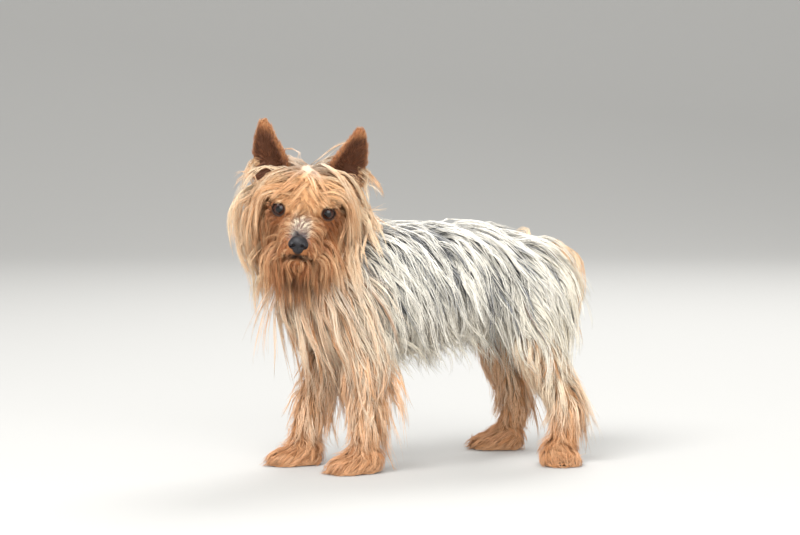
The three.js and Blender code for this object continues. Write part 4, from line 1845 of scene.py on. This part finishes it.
    def drawn(self, kind: HairZone, guide: Guides, lay: Lay, rings: int) -> tuple[np.ndarray, np.ndarray]:
        """Strands drawn beside their guides.

        Args:
            kind: How the coat grows here.
            guide: The zone's guides.
            lay: How the strands lie by them.
            rings: The points along a strand.

        Returns:
            The strands' points, and the skin's facing at each.
        """
        t = np.linspace(0.0, 1.0, rings)
        along = np.clip(lay.reach[:, None] * t[None, :], 0.0, 1.0) * self.steps
        low = np.minimum(along.astype(int), self.steps - 1)
        f = (along - low)[:, :, None]
        rows = np.arange(len(lay.guide))[:, None]
        path = guide.path[lay.guide]
        line = path[rows, low] * (1 - f) + path[rows, low + 1] * f
        pull = (kind.clump * (along / self.steps) ** 1.1)[:, :, None]
        line = line + lay.offset[:, 0][:, None, :] * (1 - pull) + lay.offset[:, 1][:, None, :] * pull
        return line, guide.facing[lay.guide][rows, low]

    def laid(self, kind: HairZone, root: Roots, guide: Guides, rng: np.random.Generator) -> Lay:
        """Gives each strand its nearest guide, and its own length and looseness.

        Args:
            kind: How the coat grows here.
            root: The zone's roots.
            guide: The zone's guides.
            rng: The zone's random draws.

        Returns:
            How the strands lie.
        """
        count = len(root.point)
        tree = KDTree(len(guide.root))
        for i, p in enumerate(guide.root):
            tree.insert(Vector(p), i)
        tree.balance()
        mine = np.array([tree.find(Vector(p))[1] for p in root.point])
        reach = rng.uniform(0.66, 1.08, count)
        loose = np.where(rng.random((count, 1)) < kind.stray, 4.5, 1.2)
        tips = rng.normal(0.0, 1.0, (count, 3)) * loose
        return Lay(mine, np.stack([root.point - guide.root[mine], tips], axis=1), reach)

    def tinted(self, kind: HairZone, root: Roots, line: np.ndarray, pick: np.ndarray) -> np.ndarray:
        """The strands' colours, of their roots or, on the head, of where they lie.

        Args:
            kind: How the coat grows here.
            root: The strands' roots.
            line: Their points.
            pick: A number from 0, dark, to 1, light, for each.

        Returns:
            A colour for each point, or one for each strand.
        """
        zones = np.full(len(pick), ZONES.index(kind.zone))
        base = self.markings.colours(zones, Spots(root.point, root.normal), pick)[:, None, :]
        if kind.zone not in (Zone.CROWN, Zone.MANE, Zone.FACE, Zone.MUZZLE, Zone.JAW, Zone.NECK):
            return base
        rings = line.shape[1]
        at = Spots(line.reshape(-1, 3), np.repeat(root.normal, rings, axis=0))
        here = self.markings.colours(np.repeat(zones, rings), at, np.repeat(pick, rings))
        along = 0.8 * smooth(0.05, 0.6, np.linspace(0.0, 1.0, rings))
        return base + (here.reshape(line.shape) - base) * along[None, :, None]

    def strands(self, kind: HairZone) -> Strands:
        """All the strands of a zone.

        Args:
            kind: How the coat grows here.

        Returns:
            The strands.
        """
        rng = np.random.default_rng(self.seed + ZONES.index(kind.zone))
        root = self.roots(kind, rng)
        guide = self.guides(kind, root, Lie(rng, self.skin.anatomy))
        lay = self.laid(kind, root, guide, rng)
        if kind.zone in (Zone.CROWN, Zone.MANE, Zone.FACE, Zone.MUZZLE, Zone.EAR):
            reach = self.trimmed(kind, self.drawn(kind, guide, lay, 20)[0], lay.reach)
            lay = replace(lay, reach=reach).take(reach > 0.0)
            root = root.take(reach > 0.0)
        count = len(lay.guide)
        t = np.linspace(0.0, 1.0, kind.rings)
        line, facing = self.drawn(kind, guide, lay, kind.rings)
        wave = rng.uniform(0.0, 6.28, (count, 1)) + t[None, :] * rng.uniform(3.0, 7.0, (count, 1))
        across = unit(np.cross(np.gradient(line, axis=1), facing))
        line = line + across * (np.sin(wave) * t[None, :] * kind.curl)[:, :, None]
        line[:, :, 2] = np.maximum(line[:, :, 2], self.floor_gap)
        layer = guide.layer[lay.guide]
        pick = 0.5 * guide.shade[lay.guide] + 0.26 * layer + 0.42 * rng.random(count) - 0.08
        pick = np.clip(pick + 0.06 - 0.2 * smooth(0.3, 0.1, layer), 0.0, 1.0)
        base = self.tinted(kind, root, line, pick)
        shade = (0.55 + 0.45 * smooth(0.0, 0.4, t))[None, :, None] * rng.uniform(0.88, 1.1, (count, 1, 1))
        width = kind.width * rng.uniform(0.7, 1.2, count)
        inside = np.abs(self.skin.place.metres(line)[:, :, 0]).max(axis=1) < self.half_width * MM
        return Strands(line, across, width, base * shade, root.unwrap).take(inside)

    def tube(self, rings: int) -> tuple[list[tuple[int, ...]], list[tuple[int, ...]]]:
        """The faces of one closed three-sided tube with a pointed tip.

        Args:
            rings: The points along the strand.

        Returns:
            Its quads and its triangles.
        """
        body = rings - 1
        quads = []
        for r in range(body - 1):
            for k in range(3):
                a, b = r * 3 + k, r * 3 + (k + 1) % 3
                quads.append((a, b, b + 3, a + 3))
        last = (body - 1) * 3
        return quads, [(last + k, last + (k + 1) % 3, body * 3) for k in range(3)] + [(2, 1, 0)]

    def mesh(self, name: str, s: Strands) -> bpy.types.Object:
        """Builds closed three-sided tapered tubes along the strands.

        Args:
            name: The object's name.
            s: The strands.

        Returns:
            One object that holds them all.
        """
        count, rings = s.line.shape[:2]
        body = rings - 1
        high = unit(np.cross(s.across, unit(np.gradient(s.line, axis=1))))
        t = np.linspace(0.0, 1.0, rings)
        taper = np.minimum(1.0, 0.6 + 2.0 * t) * (1.0 - t**2.2) ** 0.8
        half = (s.width[:, None] * taper[None, :] / 2)[:, :, None]
        corners = [s.across, -0.5 * s.across + 0.55 * high, -0.5 * s.across - 0.55 * high]
        verts = np.stack([s.line[:, :body] + c[:, :body] * half[:, :body] for c in corners], axis=2)
        points = np.concatenate([verts.reshape(count, body * 3, 3), s.line[:, -1:]], axis=1).reshape(-1, 3)
        quads, tris = self.tube(rings)
        first = (np.arange(count) * (body * 3 + 1))[:, None, None]
        faces = [(np.array(kind)[None] + first).reshape(count, -1) for kind in (quads, tris)]
        loops = np.concatenate(faces, axis=1).ravel()
        sizes = np.tile(np.array([4] * len(quads) + [3] * len(tris)), count)
        mesh = bpy.data.meshes.new(name)
        mesh.vertices.add(len(points))
        mesh.vertices.foreach_set("co", self.skin.place.metres(points).astype(np.float32).ravel())
        mesh.loops.add(len(loops))
        mesh.loops.foreach_set("vertex_index", loops.astype(np.int32))
        mesh.polygons.add(len(sizes))
        mesh.polygons.foreach_set("loop_start", (np.cumsum(sizes) - sizes).astype(np.int32))
        mesh.polygons.foreach_set("use_smooth", np.ones(len(sizes), bool))
        patch = [(t[r] - 0.5, k / 3 - 0.33) for r in range(body) for k in range(3)] + [(0.5, 0.0)]
        spots = np.clip(s.unwrap, 0.002, 0.998)[:, None, :] + np.array(patch)[None] * 0.003
        layer = mesh.uv_layers.new(name="OFBake")
        layer.data.foreach_set("uv", spots.reshape(-1, 2)[loops].astype(np.float32).ravel())
        mesh.update(calc_edges=True)
        mesh.validate()
        colour = np.repeat(s.colour[:, :body], 3, axis=1)
        paint(mesh, np.concatenate([colour, s.colour[:, -1:]], axis=1).reshape(-1, 3))
        piece = bpy.data.objects.new(name, mesh)
        bpy.context.scene.collection.objects.link(piece)
        return piece

    def build(self) -> list[bpy.types.Object]:
        """Grows every zone and splits it into pieces under the limit.

        Returns:
            The pieces.
        """
        mesh = self.skin.piece.data
        self.faces = read(mesh.polygons, "vertices", 3, np.int32)
        self.unwrap = read(mesh.uv_layers["OFBake"].data, "uv", 2).reshape(-1, 3, 2).astype(float)
        material = CoatFinish().made()
        slots = {Zone.TORSO: "silver_coat", Zone.NECK: "silver_coat", Zone.FORELEG: "leg_coat"}
        slots |= {Zone.HINDLEG: "leg_coat", Zone.PAW: "leg_coat", Zone.EAR: "ear"}
        pieces = []
        for kind in COAT:
            strands = self.strands(kind)
            each = 6 * (kind.rings - 2) + 4
            parts = math.ceil(len(strands.width) / (self.limit // each))
            order = np.argsort(strands.line[:, 0, 1], kind="stable")
            for i, rows in enumerate(np.array_split(order, parts)):
                piece = self.mesh(f"coat_{kind.zone.value}_{i + 1}", strands.take(rows))
                piece.data.materials.append(material)
                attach(piece, "root")
                pieces.append(piece)
        return pieces


# Eyes, nose and claws


@dataclass
class Eyes:
    """Two wet dark eyes, looking the way of the camera."""

    place: Place
    radius: float = 8.3
    bulge: float = 0.035
    cornea: float = 10.0
    pupil: float = 22.0
    iris: float = 44.0
    gaze: tuple[float, float, float] = (0.06, -1.0, 0.02)

    def colour(self, angle: np.ndarray) -> np.ndarray:
        """The eye's colour by its distance from the middle of the pupil.

        Args:
            angle: Degrees round from the gaze, for each vertex.

        Returns:
            A colour for each vertex.
        """
        brown, black, white = linear(58, 30, 20), linear(10, 8, 8), linear(120, 96, 84)
        made = mix(black, brown, smooth(self.pupil - 3, self.pupil + 3, angle))
        made = mix(made, black * 1.5, smooth(self.iris - 8, self.iris, angle))
        return mix(made, white, smooth(self.iris + 6, self.iris + 12, angle))

    def build(self) -> list[bpy.types.Object]:
        """Models each eye with a bulge at its cornea and paints its pupil and iris.

        Returns:
            The eyes.
        """
        finish = EyeFinish().made()
        pieces = []
        for name, s in zip(("left", "right"), SIDES):
            centre = HEAD.to_dog(eye_place(s))
            gaze = unit(HEAD.way_to_dog(np.array(self.gaze) * np.array([s, 1.0, 1.0])))
            bpy.ops.object.select_all(action="DESELECT")
            bpy.ops.mesh.primitive_uv_sphere_add(
                segments=40,
                ring_count=28,
                radius=self.radius * MM,
                location=Vector(self.place.metres(centre)),
                rotation=Vector(gaze).to_track_quat("Z", "Y").to_euler(),
            )
            piece = bpy.context.active_object
            bpy.ops.object.transform_apply(location=True, rotation=True, scale=True)
            piece.name = f"eyeball_{name}"
            way = unit(self.place.dog(points_of(piece)) - centre)
            angle = np.degrees(np.arccos(np.clip(way @ gaze, -1, 1)))
            bulge = 1.0 + self.bulge * smooth(self.iris, self.cornea, angle)
            move_points(piece, self.place.metres(centre + way * self.radius * bulge[:, None]))
            paint(piece.data, self.colour(angle))
            choose(piece)
            bpy.ops.object.shade_smooth()
            piece.data.materials.append(finish)
            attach(piece, "root")
            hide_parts(f"eye_{name}")
            pieces.append(piece)
        return pieces


@dataclass
class Nose:
    """The nose leather, with its nostrils and the groove under them."""

    place: Place
    voxels: Voxels = Voxels(0.45, 0.3, 0.45)
    pad: tuple = (((0, 0, 1), (8.2, 7, 6.4)), ((0, 0, -4), (5.6, 6.4, 5.4)))
    wing: tuple = ((5, -0.6, -0.6), (4.2, 6.2, 4.4))
    nostril: tuple = ((3.9, -6.8, -0.6), (1.7, 3.8, 1.6))
    slit: tuple = ((6.6, -5.2, -1.9), (1.6, 3.6, 0.8))
    groove: tuple = ((0, -6.8, -4.4), (0.55, 2.2, 3.6))

    def lumps(self, *forms: tuple) -> list[Lump]:
        """Makes lumps from their places beside the nose's middle, and their radii.

        Args:
            forms: The places and radii. Each that is off the middle is made on both sides.

        Returns:
            The lumps in the dog's frame.
        """
        made = []
        for (x, y, z), radii in forms:
            for s in SIDES if x else (1,):
                spot = NOSE_PLACE + np.array([s * x, y, z])
                made.append(ball(Zone.MUZZLE, spot, radii).moved_from_head())
        return made

    def build(self) -> list[bpy.types.Object]:
        """Models the pad, cuts the nostrils and the groove, and smooths it.

        Returns:
            The nose.
        """
        piece = from_lumps("nose_leather", self.lumps(*self.pad, self.wing), self.place, 28)
        holes = self.lumps(self.nostril, self.slit, self.groove)
        self.voxels.carve(piece, from_lumps("cutter", holes, self.place, 16))
        choose(piece)
        bpy.ops.object.shade_smooth()
        piece.data.materials.clear()
        piece.data.materials.append(NoseFinish().made())
        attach(piece, "root")
        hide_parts("nose")
        return [piece]


@dataclass
class Claws:
    """A claw in each toe: one is modelled and copied."""

    place: Place
    anatomy: Anatomy
    length: float = 8.0
    radius: float = 1.5
    tip_radius: float = 0.25
    height: float = 1.2
    droop: float = 0.05
    spread: float = 1.03
    ahead: float = 6.0
    rise: float = 5.0

    def model(self) -> bpy.types.Object:
        """Models one curved claw along -Y, with its root at the origin.

        Returns:
            The claw.
        """
        bpy.ops.object.select_all(action="DESELECT")
        radii = {"radius1": self.radius * MM, "radius2": self.tip_radius * MM}
        bpy.ops.mesh.primitive_cone_add(vertices=14, depth=self.length * MM, **radii)
        piece = bpy.context.active_object
        bpy.ops.object.mode_set(mode="EDIT")
        bpy.ops.mesh.select_all(action="SELECT")
        bpy.ops.mesh.subdivide(number_cuts=4)
        bpy.ops.object.mode_set(mode="OBJECT")
        co = points_of(piece) / MM
        along = co[:, 2] + self.length / 2
        height = co[:, 1] * self.height - self.droop * along**2
        move_points(piece, np.stack([co[:, 0], -along, height], axis=1) * MM)
        choose(piece)
        bpy.ops.object.mode_set(mode="EDIT")
        bpy.ops.mesh.select_all(action="SELECT")
        bpy.ops.mesh.normals_make_consistent(inside=False)
        bpy.ops.object.mode_set(mode="OBJECT")
        bpy.ops.object.shade_smooth_by_angle(angle=math.radians(50))
        return piece

    def build(self) -> list[bpy.types.Object]:
        """Copies the claw into the toes of each paw, one piece a paw.

        Returns:
            The pieces.
        """
        finish = Finish("claw", 0.35, 0.5, 0.0, tuple(linear(58, 46, 42))).made()
        claw = self.model()
        names = ("front_left", "front_right", "rear_left", "rear_right")
        pieces = []
        for name, ((x, y), turn) in zip(names, self.anatomy.paw_frames()):
            copies = []
            spin = Matrix.Rotation(math.radians(turn), 4, "Z")
            for across, ahead in self.anatomy.toes:
                copy = claw.copy()
                copy.data = claw.data.copy()
                bpy.context.scene.collection.objects.link(copy)
                toe = spin @ Vector((across * self.spread, ahead - self.ahead, self.rise))
                spot = Vector(self.place.metres(np.array([x + toe.x, y + toe.y, toe.z])))
                copy.matrix_world = Matrix.Translation(spot) @ spin
                copies.append(copy)
            piece = joined(f"claws_{name}", copies)
            piece.data.materials.clear()
            piece.data.materials.append(finish)
            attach(piece, "root")
            pieces.append(piece)
        bpy.data.objects.remove(claw)
        return pieces


# Studio


@dataclass(frozen=True)
class Lamp:
    """A soft light: degrees round the dog and up, metres away, the size of its side, and watts."""

    name: str
    azimuth: float
    elevation: float
    distance: float
    size: float
    power: float


LAMPS = (
    Lamp("key", azimuth=35, elevation=50, distance=3.0, size=1.6, power=100),
    Lamp("fill", azimuth=80, elevation=18, distance=3.2, size=2.4, power=78),
    Lamp("rim", azimuth=225, elevation=48, distance=3.0, size=1.4, power=60),
)


@dataclass(frozen=True)
class Studio:
    """A pale floor, soft lights and the photo's camera. The picture is measured in its pixels."""

    place: Place
    azimuth: float = 66.0
    distance: float = 2352.0
    height: float = 347.0
    off_axis: float = 31.5
    focal_pixels: float = 2500.0
    horizon: float = 95.0
    picture_width: float = 800.0
    picture_middle: float = 267.5
    sensor: float = 36.0
    floor_size: float = 12.0
    wall_height: float = 5.0
    cove: float = 3.0

    def camera(self) -> None:
        """Sets the camera where the photo's was."""
        a = math.radians(self.azimuth)
        right = np.array([math.cos(a), math.sin(a), 0.0])
        away = np.array([-math.sin(a), math.cos(a), 0.0])
        spot = np.array([self.place.shift[0], self.place.shift[1], 0.0]) / MM
        spot = spot - right * self.off_axis - away * self.distance + UP * self.height
        pitch = math.atan((self.picture_middle - self.horizon) / self.focal_pixels)
        look = away * math.cos(pitch) - UP * math.sin(pitch)
        bpy.ops.object.camera_add(location=Vector(spot * MM))
        camera = bpy.context.active_object
        camera.rotation_euler = Vector(look).to_track_quat("-Z", "Y").to_euler()
        camera.data.lens = self.sensor * self.focal_pixels / self.picture_width
        camera.data.sensor_width = self.sensor
        camera.data.clip_start = 0.05
        bpy.context.scene.camera = camera

    def light(self, lamp: Lamp) -> None:
        """Adds a soft area light that faces the dog.

        Args:
            lamp: Its place, size and power.
        """
        a, e = math.radians(lamp.azimuth), math.radians(lamp.elevation)
        spot = Vector((math.sin(a) * math.cos(e), -math.cos(a) * math.cos(e), math.sin(e))) * lamp.distance
        spot.z += 0.12
        bpy.ops.object.light_add(type="AREA", location=spot)
        made = bpy.context.active_object
        made.name = lamp.name
        made.data.size = lamp.size
        made.data.energy = lamp.power
        made.rotation_euler = (Vector((0, 0, 0.15)) - spot).to_track_quat("-Z", "Y").to_euler()

    def choose_far_edge(self, mesh: bpy.types.Mesh) -> None:
        """Selects the floor's edge that is farthest from the camera.

        Args:
            mesh: The floor's mesh.
        """
        far = self.floor_size / 2 - 0.1
        for edge in mesh.edges:
            ends = [mesh.vertices[v].co for v in edge.vertices]
            edge.select = all(end.y > far and end.z < 0.1 for end in ends)

    def floor(self) -> bpy.types.Object:
        """Models the floor, with its far edge raised to a wall and the corner rounded.

        Returns:
            The floor.
        """
        bpy.ops.object.select_all(action="DESELECT")
        turn = math.radians(self.azimuth)
        bpy.ops.mesh.primitive_plane_add(size=self.floor_size, location=(0, 0, 0), rotation=(0, 0, turn))
        floor = bpy.context.active_object
        floor.name = "floor"
        bpy.ops.object.mode_set(mode="EDIT")
        bpy.ops.mesh.select_all(action="DESELECT")
        bpy.ops.object.mode_set(mode="OBJECT")
        self.choose_far_edge(floor.data)
        bpy.ops.object.mode_set(mode="EDIT")
        bpy.ops.mesh.select_mode(type="EDGE")
        bpy.ops.mesh.extrude_edges_move(TRANSFORM_OT_translate={"value": (0, 0, self.wall_height)})
        bpy.ops.object.mode_set(mode="OBJECT")
        self.choose_far_edge(floor.data)
        bpy.ops.object.mode_set(mode="EDIT")
        bpy.ops.mesh.bevel(offset=self.cove, segments=24, affect="EDGES")
        bpy.ops.object.mode_set(mode="OBJECT")
        bpy.ops.object.shade_smooth()
        floor.data.materials.append(Finish("pale floor", 0.85, 0.2, 0.0, (0.48, 0.475, 0.46)).made())
        return floor

    def build(self) -> list[bpy.types.Object]:
        """Builds the floor, the lights and the camera.

        Returns:
            The floor.
        """
        floor = self.floor()
        for lamp in LAMPS:
            self.light(lamp)
        world = bpy.data.worlds.new("studio")
        world.use_nodes = True
        world.node_tree.nodes["Background"].inputs["Color"].default_value = (0.93, 0.93, 0.92, 1.0)
        world.node_tree.nodes["Background"].inputs["Strength"].default_value = 0.8
        bpy.context.scene.world = world
        bpy.context.scene.view_settings.view_transform = "Standard"
        self.camera()
        return [floor]


def main() -> None:
    """Builds the studio and the dog in order, and reports each piece."""
    logging.basicConfig(level=logging.INFO, format="%(name)s: %(message)s")
    place = Place.found()
    anatomy = Anatomy()
    markings = Markings()
    skin = Skin(place, anatomy, markings)
    coat = Coat(skin, markings)
    for part in (Studio(place), skin, coat, Eyes(place), Nose(place), Claws(place, anatomy)):
        for piece in part.build():
            log.info("%s: %d faces", piece.name, len(piece.data.polygons))


if __name__ == "__main__":
    main()
